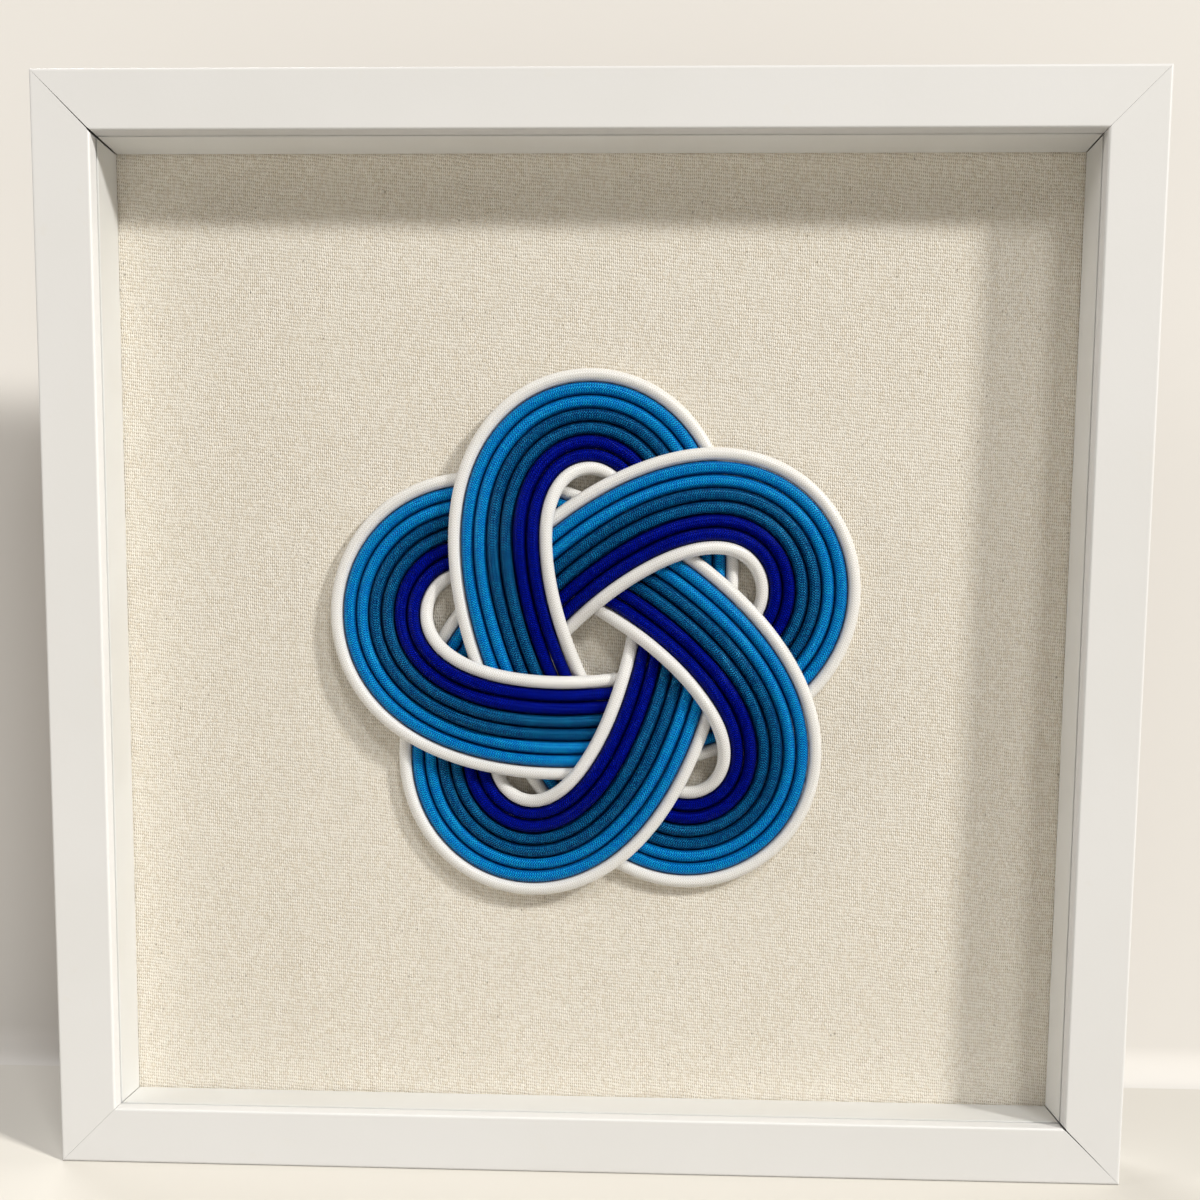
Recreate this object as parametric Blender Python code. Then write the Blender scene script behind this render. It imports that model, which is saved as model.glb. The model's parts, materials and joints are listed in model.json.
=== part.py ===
"""Knot shadow box: a square mitred frame that holds a corded rosette knot on linen behind a clear pane.

Metres, +Z up. The box stands on its bottom rail at Z = 0 and its front faces -Y.
X = 0 is the middle of its width, and Y = 0 the middle of its depth with the wall bumpers on.
The pieces are stacked from the front: frame lip, pane, spacers, linen on its board, back panel,
and the turn buttons that hold the panel in.
"""

from math import acos, cos, pi, radians, sin

import bmesh
import bpy
import numpy as np

# Frame rails, measured across the face and through the depth
FRAME_SIZE = 0.320
FACE_WIDTH = 0.017
WALL_THICKNESS = 0.0075
LIP_DEPTH = 0.0046
EDGE_ROUNDING = 0.0008
MITRE_GAP = 0.0001

# Clearances: the gap left where one piece seats on another, and the play of what drops into the rabbet
SEAT_GAP = 0.0003
RABBET_PLAY = 0.0005

# Sheets in the rabbet
PANE_THICKNESS = 0.0010
SPACER_MITRE_GAP = 0.0003
LINEN_THICKNESS = 0.0005
LINEN_TURN_IN = 0.015
BOARD_THICKNESS = 0.0020
PANEL_THICKNESS = 0.0030

# Knot: eight round braided cords laid side by side in one flat band
CORD_DIAMETER = 0.00365
CORD_GAP = 0.0003
KNOT_RADIUS = 0.0825
CENTRE_HOLE_RADIUS = 0.0078
KNOT_CENTRE = (0.0026, -0.0016)
KNOT_TURN = 95.0
HEADROOM = 0.0020

# Two small waves that round off the lobes, and three that make them as unlike as hand tying left them:
# turns for each lap of the band, size, and direction in degrees
LOBE_FLATTENING = -0.00125
LOBE_SQUARING = 0.0004
HAND_TYING = ((1, 0.00068, -22.0), (3, 0.00065, 102.0), (-4, 0.00038, -60.0))

# Turn buttons and their screws
BUTTON_HUB_RADIUS = 0.0034
BUTTON_TIP_RADIUS = 0.0027
BUTTON_REACH = 0.0160
BUTTON_THICKNESS = 0.0010
SCREW_SHANK_RADIUS = 0.0013
SCREW_LENGTH = 0.0120
SCREW_HEAD_RADIUS = 0.0027
SCREW_HEAD_HEIGHT = 0.0015
SCREW_HEAD_EDGE = 0.0007
SCREW_CROWN_RADIUS = 0.0019
SCREW_CROWN_RISE = 0.0002
SCREW_CROSS_ARM = 0.0016
SCREW_CROSS_WIDTH = 0.0007
SCREW_CROSS_DEPTH = 0.0009
SIDE_BUTTON_SPREAD = 0.090

# Mitre wedges: V-shaped strips driven into each corner from behind
WEDGE_COVER = 0.0016
WEDGE_THICKNESS = 0.0006
WEDGE_DEPTH = 0.0070
WEDGE_SET = 0.0003

# Sawtooth hanger and its two nails on the back panel
HANGER_LENGTH = 0.044
HANGER_HEIGHT = 0.0095
HANGER_THICKNESS = 0.0008
HANGER_EAR = 0.0085
HANGER_STANDOFF = 0.0012
HANGER_BEND = 0.0020
HANGER_DROP = 0.030
TOOTH_COUNT = 9
TOOTH_HEIGHT = 0.0018
NAIL_SHANK_RADIUS = 0.0007
NAIL_HEAD_RADIUS = 0.0017
NAIL_HEAD_HEIGHT = 0.0006
NAIL_LENGTH = 0.0023

# Wall bumpers at the foot of the frame
BUMPER_RADIUS = 0.0033
BUMPER_THICKNESS = 0.0030
BUMPER_EDGE_ROUNDING = 0.0007
BUMPER_INSET = 0.018

# Counts that set how finely round things are cut
LOBES = 5
LAPS = 3
STATIONS_PER_LOBE = 24
ROUNDING_STEPS = 3
ROUND_SIDES = 16
BUTTON_ARC_STEPS = 8
BUTTON_SIDE_STEPS = 4
SMOOTH_ANGLE = 40.0

# How the cords settle on each other, each round: the shares of their bend and of their sag that straighten
# out, and how far they sink, as a share of a cord's diameter. Last, how near to its gap a crossing is left
SETTLE_ROUNDS = 1500
STIFFNESS = 0.06
TAUTNESS = 0.10
SINKING = 0.0027
SETTLED_SHARE = 0.001

CORD_COLOURS = (
    ("white_inner", (0.86, 0.83, 0.77)),
    ("navy_inner", (0.004, 0.005, 0.23)),
    ("navy_outer", (0.004, 0.005, 0.25)),
    ("petrol_inner", (0.006, 0.075, 0.17)),
    ("petrol_outer", (0.006, 0.08, 0.18)),
    ("azure_inner", (0.004, 0.16, 0.50)),
    ("azure_outer", (0.004, 0.18, 0.54)),
    ("white_outer", (0.87, 0.84, 0.78)),
)

# Widths that follow from the frame
CORD_PITCH = CORD_DIAMETER + CORD_GAP
CORD_COUNT = len(CORD_COLOURS)
BAND_WIDTH = (CORD_COUNT - 1) * CORD_PITCH + CORD_DIAMETER
RABBET_SIZE = FRAME_SIZE - 2 * WALL_THICKNESS
INSERT_SIZE = RABBET_SIZE - 2 * RABBET_PLAY


def clear_scene():
    for obj in list(bpy.data.objects):
        bpy.data.objects.remove(obj, do_unlink=True)


def material(name, colour, roughness, metallic=0.0, alpha=1.0):
    made = bpy.data.materials.new(name)
    made.use_nodes = True
    shader = made.node_tree.nodes["Principled BSDF"]
    shader.inputs["Base Color"].default_value = (*colour, 1.0)
    shader.inputs["Roughness"].default_value = roughness
    shader.inputs["Metallic"].default_value = metallic
    shader.inputs["Alpha"].default_value = alpha
    made.diffuse_color = (*colour, alpha)
    return made


def piece(name, mesh, finish, parent, place=(0.0, 0.0, 0.0), turn=0.0):
    """One named object, placed under its parent and turned about the depth axis."""
    obj = bpy.data.objects.new(name, mesh)
    bpy.context.scene.collection.objects.link(obj)
    obj.parent = parent
    obj.location = place
    obj.rotation_euler = (0.0, turn, 0.0)
    if finish is not None:
        mesh.materials.append(finish)
    return obj


def closed_mesh(name, points, faces, round_surface=False):
    """A mesh from points and faces with every face turned outwards."""
    mesh = bpy.data.meshes.new(name)
    mesh.from_pydata(points, [], faces)
    work = bmesh.new()
    work.from_mesh(mesh)
    bmesh.ops.recalc_face_normals(work, faces=work.faces)
    work.to_mesh(mesh)
    work.free()
    if round_surface:
        mesh.shade_smooth()
        mesh.set_sharp_from_angle(angle=radians(SMOOTH_ANGLE))
    return mesh


def prism(name, outline, front, back):
    """An outline of (x, z) points carried straight back from depth front to depth back."""
    count = len(outline)
    points = [(x, front, z) for x, z in outline]
    points += [(x, back, z) for x, z in outline]
    faces = [tuple(range(count)), tuple(range(count, 2 * count))]
    for first in range(count):
        second = (first + 1) % count
        faces.append((first, second, second + count, first + count))
    return closed_mesh(name, points, faces)


def square(side):
    half = side / 2
    return [(-half, -half), (half, -half), (half, half), (-half, half)]


def turned(name, profile, sides=ROUND_SIDES):
    """A profile of (radius, depth) pairs turned about the depth axis, closed by a point at each end."""
    points = [(0.0, profile[0][1], 0.0)]
    for radius, depth in profile[1:-1]:
        for step in range(sides):
            angle = 2 * pi * step / sides
            points.append((radius * cos(angle), depth, radius * sin(angle)))
    points.append((0.0, profile[-1][1], 0.0))
    last = len(points) - 1
    rings = len(profile) - 2
    faces = []
    for step in range(sides):
        following = (step + 1) % sides
        faces.append((0, 1 + step, 1 + following))
        for ring in range(rings - 1):
            start = 1 + ring * sides
            faces.append((start + step, start + sides + step, start + sides + following, start + following))
        start = 1 + (rings - 1) * sides
        faces.append((last, start + following, start + step))
    return closed_mesh(name, points, faces, round_surface=True)


def cut(target, cutter):
    """Takes the cutter's shape out of the target, and keeps the cutter as a wire guide."""
    cutter.hide_render = True
    cutter.display_type = "WIRE"
    modifier = target.modifiers.new("cut_" + cutter.name, "BOOLEAN")
    modifier.operation = "DIFFERENCE"
    modifier.solver = "EXACT"
    modifier.object = cutter


def mitred_bar(name, profile, mitre_gap, round_surface=False):
    """A bar along the foot of the frame: profile points are (inset from the outer edge, depth),
    and each point's run shortens with its inset, which cuts both ends at 45 degrees."""
    count = len(profile)
    points = []
    for end in (-1, 1):
        for inset, depth in profile:
            half = FRAME_SIZE / 2 - inset - mitre_gap / 2
            points.append((end * half, depth, inset - FRAME_SIZE / 2))
    faces = [tuple(range(count)), tuple(range(count, 2 * count))]
    for first in range(count):
        second = (first + 1) % count
        faces.append((first, second, second + count, first + count))
    return closed_mesh(name, points, faces, round_surface)


def rounded_corner(inset, depth, across, start):
    """Points of a quarter arc at a front edge: across is +1 where the face runs on to larger insets."""
    centre_inset = inset + across * EDGE_ROUNDING
    centre_depth = depth + EDGE_ROUNDING
    arc = []
    for step in range(ROUNDING_STEPS + 1):
        angle = start + (pi / 2) * step / ROUNDING_STEPS
        along = centre_inset + EDGE_ROUNDING * cos(angle)
        into = centre_depth + EDGE_ROUNDING * sin(angle)
        arc.append((along, into))
    return arc


# Knot shape


def band_centre(lap_angle):
    """Centreline of the band and its left-hand normal, as complex numbers x + iz from the knot's centre.

    A point runs round a large circle three times one way while a smaller circle carries it
    twice the other way, which gives five lobes. Small extra circles round the lobes off."""
    far = KNOT_RADIUS - BAND_WIDTH / 2
    near = CENTRE_HOLE_RADIUS + BAND_WIDTH / 2
    large = (far + near) / 2 - LOBE_FLATTENING
    small = (far - near) / 2 - LOBE_SQUARING
    circles = [(-LAPS, large), (LOBES - LAPS, small)]
    circles += [(2 * LOBES - LAPS, LOBE_FLATTENING), (-LOBES - LAPS, LOBE_SQUARING)]
    lobe = np.exp(1j * radians(KNOT_TURN))
    circles = [(turns, size * lobe) for turns, size in circles]
    circles += [(turns, size * np.exp(1j * radians(angle))) for turns, size, angle in HAND_TYING]
    centre = sum(size * np.exp(1j * turns * lap_angle) for turns, size in circles)
    along = sum(1j * turns * size * np.exp(1j * turns * lap_angle) for turns, size in circles)
    return centre, 1j * along / abs(along)


def cord_routes():
    """The plan of every cord, innermost first, as rows of complex stations."""
    stations = LOBES * STATIONS_PER_LOBE
    lap_angle = 2 * pi * np.arange(stations) / stations
    centre, normal = band_centre(lap_angle)
    offsets = (np.arange(CORD_COUNT) - (CORD_COUNT - 1) / 2) * CORD_PITCH
    return centre + offsets[:, None] * normal


def crossings(routes):
    """Where any two cords cross in plan: arrays of (cord, station) for the one on top and the one below.

    A strand that is on its way out to a lobe's tip lies over one that comes back from a tip,
    so the strand that has gone further since its last tip is the one on top."""
    cords, stations = routes.shape
    found = []
    for upper in range(cords):
        for lower in range(cords):
            start = routes[upper][:, None]
            run = np.roll(routes[upper], -1)[:, None] - start
            other = routes[lower][None]
            other_run = np.roll(routes[lower], -1)[None] - other
            turn = (np.conj(run) * other_run).imag
            turn = np.where(turn == 0.0, np.inf, turn)
            on_upper = (np.conj(other - start) * other_run).imag / turn
            on_lower = (np.conj(other - start) * run).imag / turn
            meets = (on_upper >= 0) & (on_upper < 1) & (on_lower >= 0) & (on_lower < 1)
            if upper == lower:
                apart = abs(np.subtract.outer(np.arange(stations), np.arange(stations)))
                meets &= np.minimum(apart, stations - apart) > 1
            first, second = np.nonzero(meets)
            first_at = first + on_upper[meets]
            second_at = second + on_lower[meets]
            since_tip = (first_at % STATIONS_PER_LOBE) > (second_at % STATIONS_PER_LOBE)
            found.append((np.full(since_tip.sum(), upper), first_at[since_tip],
                          np.full(since_tip.sum(), lower), second_at[since_tip]))
    return [np.concatenate(column) for column in zip(*found)]


def settled_heights(routes):
    """Height of every cord's middle above the linen, found by letting stiff cords sink on to each other.

    Each round smooths the cords, lets them down a little, and then parts every pair that crosses
    closer than a cord's thickness and its gap. Last, whatever is still too close is lifted clear."""
    cords, stations = routes.shape
    upper, upper_at, lower, lower_at = crossings(routes)
    apart = CORD_DIAMETER + SEAT_GAP
    lowest = CORD_DIAMETER / 2 + SEAT_GAP

    def stations_beside(cord, at):
        before = np.floor(at).astype(int)
        share = at - before
        return cord * stations + before % stations, cord * stations + (before + 1) % stations, share

    over_a, over_b, over_share = stations_beside(upper, upper_at)
    under_a, under_b, under_share = stations_beside(lower, lower_at)

    def lack(height):
        top = height[over_a] * (1 - over_share) + height[over_b] * over_share
        bottom = height[under_a] * (1 - under_share) + height[under_b] * under_share
        return np.clip(apart - (top - bottom), 0.0, None)

    since_tip = (np.arange(stations) % STATIONS_PER_LOBE) / STATIONS_PER_LOBE
    height = np.tile(lowest + CORD_DIAMETER * (1 - np.sin(2 * pi * since_tip)), cords)
    for _ in range(SETTLE_ROUNDS):
        rows = height.reshape(cords, stations)
        sag = np.roll(rows, 1, 1) + np.roll(rows, -1, 1) - 2 * rows
        bend = np.roll(sag, 1, 1) + np.roll(sag, -1, 1) - 2 * sag
        rows = rows - STIFFNESS * bend + TAUTNESS * sag - SINKING * CORD_DIAMETER
        height = np.maximum(rows, lowest).ravel()
        for _ in range(2):
            share = lack(height) / 2
            lift = np.zeros_like(height)
            drop = np.zeros_like(height)
            for place in (over_a, over_b):
                np.maximum.at(lift, place, share)
            for place in (under_a, under_b):
                np.maximum.at(drop, place, share)
            height = np.maximum(height + lift - drop, lowest)
    for _ in range(SETTLE_ROUNDS):
        missing = lack(height)
        if missing.max() < SETTLED_SHARE * SEAT_GAP:
            break
        lift = np.zeros_like(height)
        for place in (over_a, over_b):
            np.maximum.at(lift, place, missing)
        height = height + lift
    return height.reshape(cords, stations)


ROUTES = cord_routes()
HEIGHTS = settled_heights(ROUTES)
KNOT_HEIGHT = float(HEIGHTS.max()) + CORD_DIAMETER / 2

# Depths through the box, front to back, each from the piece before it
SPACER_DEPTH = KNOT_HEIGHT + HEADROOM - 2 * SEAT_GAP
STACK_DEPTH = (LIP_DEPTH + PANE_THICKNESS + SPACER_DEPTH + 2 * LINEN_THICKNESS + BOARD_THICKNESS
               + PANEL_THICKNESS + 6 * SEAT_GAP)
FRAME_DEPTH = STACK_DEPTH + SEAT_GAP
FRONT = -(FRAME_DEPTH + SEAT_GAP + BUMPER_THICKNESS) / 2
BACK = FRONT + FRAME_DEPTH
PANE_FRONT = FRONT + LIP_DEPTH + SEAT_GAP
SPACER_FRONT = PANE_FRONT + PANE_THICKNESS + SEAT_GAP
LINEN_FRONT = SPACER_FRONT + SPACER_DEPTH + SEAT_GAP
BOARD_FRONT = LINEN_FRONT + LINEN_THICKNESS + SEAT_GAP
TURN_IN_FRONT = BOARD_FRONT + BOARD_THICKNESS + SEAT_GAP
PANEL_FRONT = TURN_IN_FRONT + LINEN_THICKNESS + SEAT_GAP
PANEL_BACK = PANEL_FRONT + PANEL_THICKNESS
SIDES = ("bottom", "left", "top", "right")


def make_rails(centre, paint):
    """Four rails of one moulding: a face lip in front and a wall behind it, rounded at both front edges."""
    profile = rounded_corner(0.0, FRONT, 1, pi)
    profile += rounded_corner(FACE_WIDTH, FRONT, -1, -pi / 2)
    profile += [(FACE_WIDTH, FRONT + LIP_DEPTH), (WALL_THICKNESS, FRONT + LIP_DEPTH)]
    profile += [(WALL_THICKNESS, BACK), (0.0, BACK)]
    rails = {}
    for number, side in enumerate(SIDES):
        mesh = mitred_bar("frame_rail_" + side, profile, MITRE_GAP, round_surface=True)
        rails[side] = piece("frame_rail_" + side, mesh, paint, centre, turn=number * pi / 2)
    return rails


def make_pane(centre, acrylic):
    mesh = prism("clear_pane", square(INSERT_SIZE), PANE_FRONT, PANE_FRONT + PANE_THICKNESS)
    piece("clear_pane", mesh, acrylic, centre)


def make_spacers(centre, paint):
    """Four mitred strips that fill the rabbet's width and hold the linen off the pane."""
    back = SPACER_FRONT + SPACER_DEPTH
    outer = WALL_THICKNESS + RABBET_PLAY
    profile = [(outer, SPACER_FRONT), (FACE_WIDTH, SPACER_FRONT), (FACE_WIDTH, back), (outer, back)]
    for number, side in enumerate(SIDES):
        mesh = mitred_bar("spacer_" + side, profile, SPACER_MITRE_GAP)
        piece("spacer_" + side, mesh, paint, centre, turn=number * pi / 2)


def make_linen(centre, cloth):
    """A cloth skin over the board: face, four turned edges, and a turn-in glued behind."""
    inner = INSERT_SIZE - 2 * LINEN_THICKNESS
    window = INSERT_SIZE - 2 * LINEN_TURN_IN
    rings = [(INSERT_SIZE, LINEN_FRONT), (INSERT_SIZE, TURN_IN_FRONT + LINEN_THICKNESS)]
    rings += [(window, TURN_IN_FRONT + LINEN_THICKNESS), (window, TURN_IN_FRONT)]
    rings += [(inner, TURN_IN_FRONT), (inner, LINEN_FRONT + LINEN_THICKNESS)]
    points = [(x, depth, z) for side, depth in rings for x, z in square(side)]
    faces = [(0, 1, 2, 3)]
    for start in range(0, 4 * (len(rings) - 1), 4):
        for corner in range(4):
            following = (corner + 1) % 4
            faces.append((start + corner, start + following, start + 4 + following, start + 4 + corner))
    last = 4 * (len(rings) - 1)
    faces.append((last, last + 1, last + 2, last + 3))
    piece("linen_facing", closed_mesh("linen_facing", points, faces), cloth, centre)


def make_board(centre, card):
    side = INSERT_SIZE - 2 * LINEN_THICKNESS - 2 * SEAT_GAP
    mesh = prism("mount_board", square(side), BOARD_FRONT, BOARD_FRONT + BOARD_THICKNESS)
    piece("mount_board", mesh, card, centre)


def make_back_panel(centre, fibreboard):
    mesh = prism("back_panel", square(INSERT_SIZE), PANEL_FRONT, PANEL_BACK)
    return piece("back_panel", mesh, fibreboard, centre)


def make_knot(centre, finishes):
    """Eight closed cords. The knot's own plane is turned up, so that it lies flat on the linen."""
    knot = bpy.data.objects.new("knot_centre", None)
    bpy.context.scene.collection.objects.link(knot)
    knot.parent = centre
    knot.location = (KNOT_CENTRE[0], LINEN_FRONT, KNOT_CENTRE[1])
    knot.rotation_euler = (pi / 2, 0.0, 0.0)
    for (name, _), route, height, finish in zip(CORD_COLOURS, ROUTES, HEIGHTS, finishes):
        curve = bpy.data.curves.new("knot_cord_" + name, "CURVE")
        curve.dimensions = "3D"
        curve.twist_mode = "Z_UP"
        curve.bevel_depth = CORD_DIAMETER / 2
        curve.bevel_resolution = 1
        spline = curve.splines.new("POLY")
        spline.points.add(len(route) - 1)
        rows = np.stack([route.real, route.imag, height, np.ones_like(height)], axis=1)
        spline.points.foreach_set("co", rows.ravel())
        spline.use_cyclic_u = True
        cord = bpy.data.objects.new("knot_cord_" + name, curve)
        bpy.context.scene.collection.objects.link(cord)
        cord.parent = knot
        curve.materials.append(finish)


def button_outline():
    """A hub circle and a smaller tip circle joined by their common tangents, hub at the origin, tip up.

    The tangents are stepped too, so that the round hole drawn from these points stays round."""
    lean = acos((BUTTON_HUB_RADIUS - BUTTON_TIP_RADIUS) / BUTTON_REACH)
    tip_arc = np.linspace(pi / 2 - lean, pi / 2 + lean, BUTTON_ARC_STEPS + 1)
    hub_arc = np.linspace(pi / 2 + lean, 5 * pi / 2 - lean, BUTTON_ARC_STEPS + 1)
    tip = BUTTON_TIP_RADIUS * np.exp(1j * tip_arc) + 1j * BUTTON_REACH
    hub = BUTTON_HUB_RADIUS * np.exp(1j * hub_arc)
    down = np.geomspace(abs(tip[-1]), abs(hub[0]), BUTTON_SIDE_STEPS + 1)[1:-1]
    share = (abs(tip[-1]) - down) / (abs(tip[-1]) - abs(hub[0]))
    left = tip[-1] + (hub[0] - tip[-1]) * share
    right = (hub[-1] + (tip[0] - hub[-1]) * (1 - share))[::-1]
    outline = np.concatenate([tip, left, hub, right])
    return [(float(point.real), float(point.imag)) for point in outline]


def button_mesh():
    """A flat plate with its pivot hole, made as four loops: outline and hole, near and far side."""
    outline = button_outline()
    hole_radius = SCREW_SHANK_RADIUS + SEAT_GAP
    hole = []
    for x, z in outline:
        reach = (x * x + z * z) ** 0.5
        hole.append((x * hole_radius / reach, z * hole_radius / reach))
    near = SEAT_GAP
    far = SEAT_GAP + BUTTON_THICKNESS
    loops = [(outline, near), (outline, far), (hole, far), (hole, near)]
    points = [(x, depth, z) for loop, depth in loops for x, z in loop]
    count = len(outline)
    faces = []
    for loop in range(4):
        here = loop * count
        there = ((loop + 1) % 4) * count
        for first in range(count):
            second = (first + 1) % count
            faces.append((here + first, here + second, there + second, there + first))
    return closed_mesh("turn_button", points, faces, round_surface=True)


def screw_mesh():
    """A pan-head screw. Depth 0 is the rail's back face, and the shank runs forward from it."""
    seat = 2 * SEAT_GAP + BUTTON_THICKNESS
    top = seat + SCREW_HEAD_HEIGHT
    profile = [
        (0.0, -SCREW_LENGTH),
        (SCREW_SHANK_RADIUS, SCREW_SHANK_RADIUS - SCREW_LENGTH),
        (SCREW_SHANK_RADIUS, seat),
        (SCREW_HEAD_RADIUS, seat),
        (SCREW_HEAD_RADIUS, seat + SCREW_HEAD_EDGE),
        (SCREW_CROWN_RADIUS, top - SCREW_CROWN_RISE),
        (0.0, top),
    ]
    return turned("turn_button_screw", profile)


def cross_outline(arm, width):
    """A plus sign of four equal arms."""
    half = width / 2
    quarter = [(arm, -half), (arm, half), (half, half)]
    outline = []
    for turn in range(4):
        across = round(cos(turn * pi / 2))
        up = round(sin(turn * pi / 2))
        outline += [(x * across - z * up, x * up + z * across) for x, z in quarter]
    return outline


def button_places():
    """Name, rail and place of each pivot, with the turn that points the button in over the panel."""
    edge = FRAME_SIZE / 2 - WALL_THICKNESS / 2
    return [
        ("left_upper", "left", (-edge, SIDE_BUTTON_SPREAD), pi / 2),
        ("left_lower", "left", (-edge, -SIDE_BUTTON_SPREAD), pi / 2),
        ("right_upper", "right", (edge, SIDE_BUTTON_SPREAD), -pi / 2),
        ("right_lower", "right", (edge, -SIDE_BUTTON_SPREAD), -pi / 2),
        ("top", "top", (0.0, edge), pi),
        ("bottom", "bottom", (0.0, -edge), 0.0),
    ]


def make_turn_buttons(centre, rails, plate, steel):
    """Six flat buttons on the rails' back faces. Each turns about its screw's own axis."""
    hole_depth = SCREW_LENGTH + SEAT_GAP
    head_top = 2 * SEAT_GAP + BUTTON_THICKNESS + SCREW_HEAD_HEIGHT
    for name, side, (x, z), turn in button_places():
        place = (x, BACK, z)
        piece("turn_button_" + name, button_mesh(), plate, centre, place, turn)
        screw = piece("turn_button_screw_" + name, screw_mesh(), steel, centre, place, turn)
        cross = prism("screw_cross_" + name, cross_outline(SCREW_CROSS_ARM, SCREW_CROSS_WIDTH),
                      head_top - SCREW_CROSS_DEPTH, head_top + SCREW_CROSS_DEPTH)
        cut(screw, piece("screw_cross_" + name, cross, None, centre, place, turn))
        bore = [(0.0, -hole_depth), (SCREW_SHANK_RADIUS + SEAT_GAP, -hole_depth),
                (SCREW_SHANK_RADIUS + SEAT_GAP, hole_depth), (0.0, hole_depth)]
        bore = piece("screw_bore_" + name, turned("screw_bore_" + name, bore), None, centre, place)
        cut(rails[side], bore)


def wedge_outline(grow):
    """A V in plan at the foot's left corner, its point on the mitre towards the opening.

    grow widens it on every side, for the slot that takes it."""
    corner = -FRAME_SIZE / 2
    point = corner + WALL_THICKNESS - WEDGE_COVER
    start = corner + WEDGE_COVER
    inside = point + WEDGE_THICKNESS / 2 + grow
    outside = point - WEDGE_THICKNESS / 2 - grow
    tail = start - grow
    arms = [(tail, inside), (tail, outside), (outside, outside)]
    return arms + [(z, x) for x, z in reversed(arms[:2])] + [(inside, inside)]


def make_wedges(centre, rails, steel):
    """A V-shaped wedge in each corner, driven in from behind so that it locks two rails together."""
    back = BACK - WEDGE_SET
    front = back - WEDGE_DEPTH
    corners = ("lower_left", "upper_left", "upper_right", "lower_right")
    for number, corner in enumerate(corners):
        turn = number * pi / 2
        mesh = prism("mitre_wedge_" + corner, wedge_outline(0.0), front, back)
        piece("mitre_wedge_" + corner, mesh, steel, centre, turn=turn)
        slot = prism("wedge_slot_" + corner, wedge_outline(SEAT_GAP), front - SEAT_GAP, BACK + SEAT_GAP)
        slot = piece("wedge_slot_" + corner, slot, None, centre, turn=turn)
        for side in (SIDES[number], SIDES[(number + 1) % 4]):
            cut(rails[side], slot)


def hanger_mesh():
    """A strip that steps out between two ears, with a row of teeth along its lower edge."""
    half = HANGER_LENGTH / 2
    bend_end = half - HANGER_EAR
    bend_start = bend_end - HANGER_BEND
    teeth = np.linspace(-bend_start, bend_start, 2 * TOOTH_COUNT + 1)
    columns = [(-half, 0.0, 0.0), (-bend_end, 0.0, 0.0)]
    for number, x in enumerate(teeth):
        columns.append((float(x), HANGER_STANDOFF, TOOTH_HEIGHT if number % 2 else 0.0))
    columns += [(bend_end, 0.0, 0.0), (half, 0.0, 0.0)]
    points = []
    for x, out, notch in columns:
        near = SEAT_GAP + out
        far = near + HANGER_THICKNESS
        for depth in (near, far):
            points.append((x, depth, -HANGER_HEIGHT / 2 + notch))
            points.append((x, depth, HANGER_HEIGHT / 2))
    faces = [(0, 1, 3, 2)]
    for start in range(0, 4 * (len(columns) - 1), 4):
        for first, second in ((0, 1), (1, 3), (3, 2), (2, 0)):
            faces.append((start + first, start + second, start + 4 + second, start + 4 + first))
    last = 4 * (len(columns) - 1)
    faces.append((last, last + 2, last + 3, last + 1))
    return closed_mesh("sawtooth_hanger", points, faces)


def make_hanger(centre, panel, plate, steel):
    """The hanger sits on the back panel below its top edge, with one nail through each ear."""
    height = INSERT_SIZE / 2 - HANGER_DROP
    hanger = piece("sawtooth_hanger", hanger_mesh(), plate, centre, (0.0, PANEL_BACK, height))
    seat = 2 * SEAT_GAP + HANGER_THICKNESS
    nail = [
        (0.0, -NAIL_LENGTH),
        (NAIL_SHANK_RADIUS, NAIL_SHANK_RADIUS - NAIL_LENGTH),
        (NAIL_SHANK_RADIUS, seat),
        (NAIL_HEAD_RADIUS, seat),
        (NAIL_HEAD_RADIUS, seat + NAIL_HEAD_HEIGHT),
        (0.0, seat + NAIL_HEAD_HEIGHT),
    ]
    bore_radius = NAIL_SHANK_RADIUS + SEAT_GAP
    bore_depth = NAIL_LENGTH + SEAT_GAP
    bore = [(0.0, -bore_depth), (bore_radius, -bore_depth), (bore_radius, bore_depth), (0.0, bore_depth)]
    for side, x in (("left", -1), ("right", 1)):
        place = (x * (HANGER_LENGTH - HANGER_EAR) / 2, PANEL_BACK, height)
        piece("hanger_nail_" + side, turned("hanger_nail_" + side, nail), steel, centre, place)
        hole = piece("nail_bore_" + side, turned("nail_bore_" + side, bore), None, centre, place)
        cut(hanger, hole)
        cut(panel, hole)


def make_bumpers(centre, felt):
    """Two soft discs at the foot of the frame keep it off the wall and upright."""
    height = WALL_THICKNESS / 2 - FRAME_SIZE / 2
    near = SEAT_GAP
    far = SEAT_GAP + BUMPER_THICKNESS
    profile = [(0.0, near), (BUMPER_RADIUS, near), (BUMPER_RADIUS, far - BUMPER_EDGE_ROUNDING),
               (BUMPER_RADIUS - BUMPER_EDGE_ROUNDING, far), (0.0, far)]
    for side, x in (("left", -1), ("right", 1)):
        place = (x * (FRAME_SIZE / 2 - BUMPER_INSET), BACK, height)
        piece("wall_bumper_" + side, turned("wall_bumper_" + side, profile), felt, centre, place)


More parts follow.
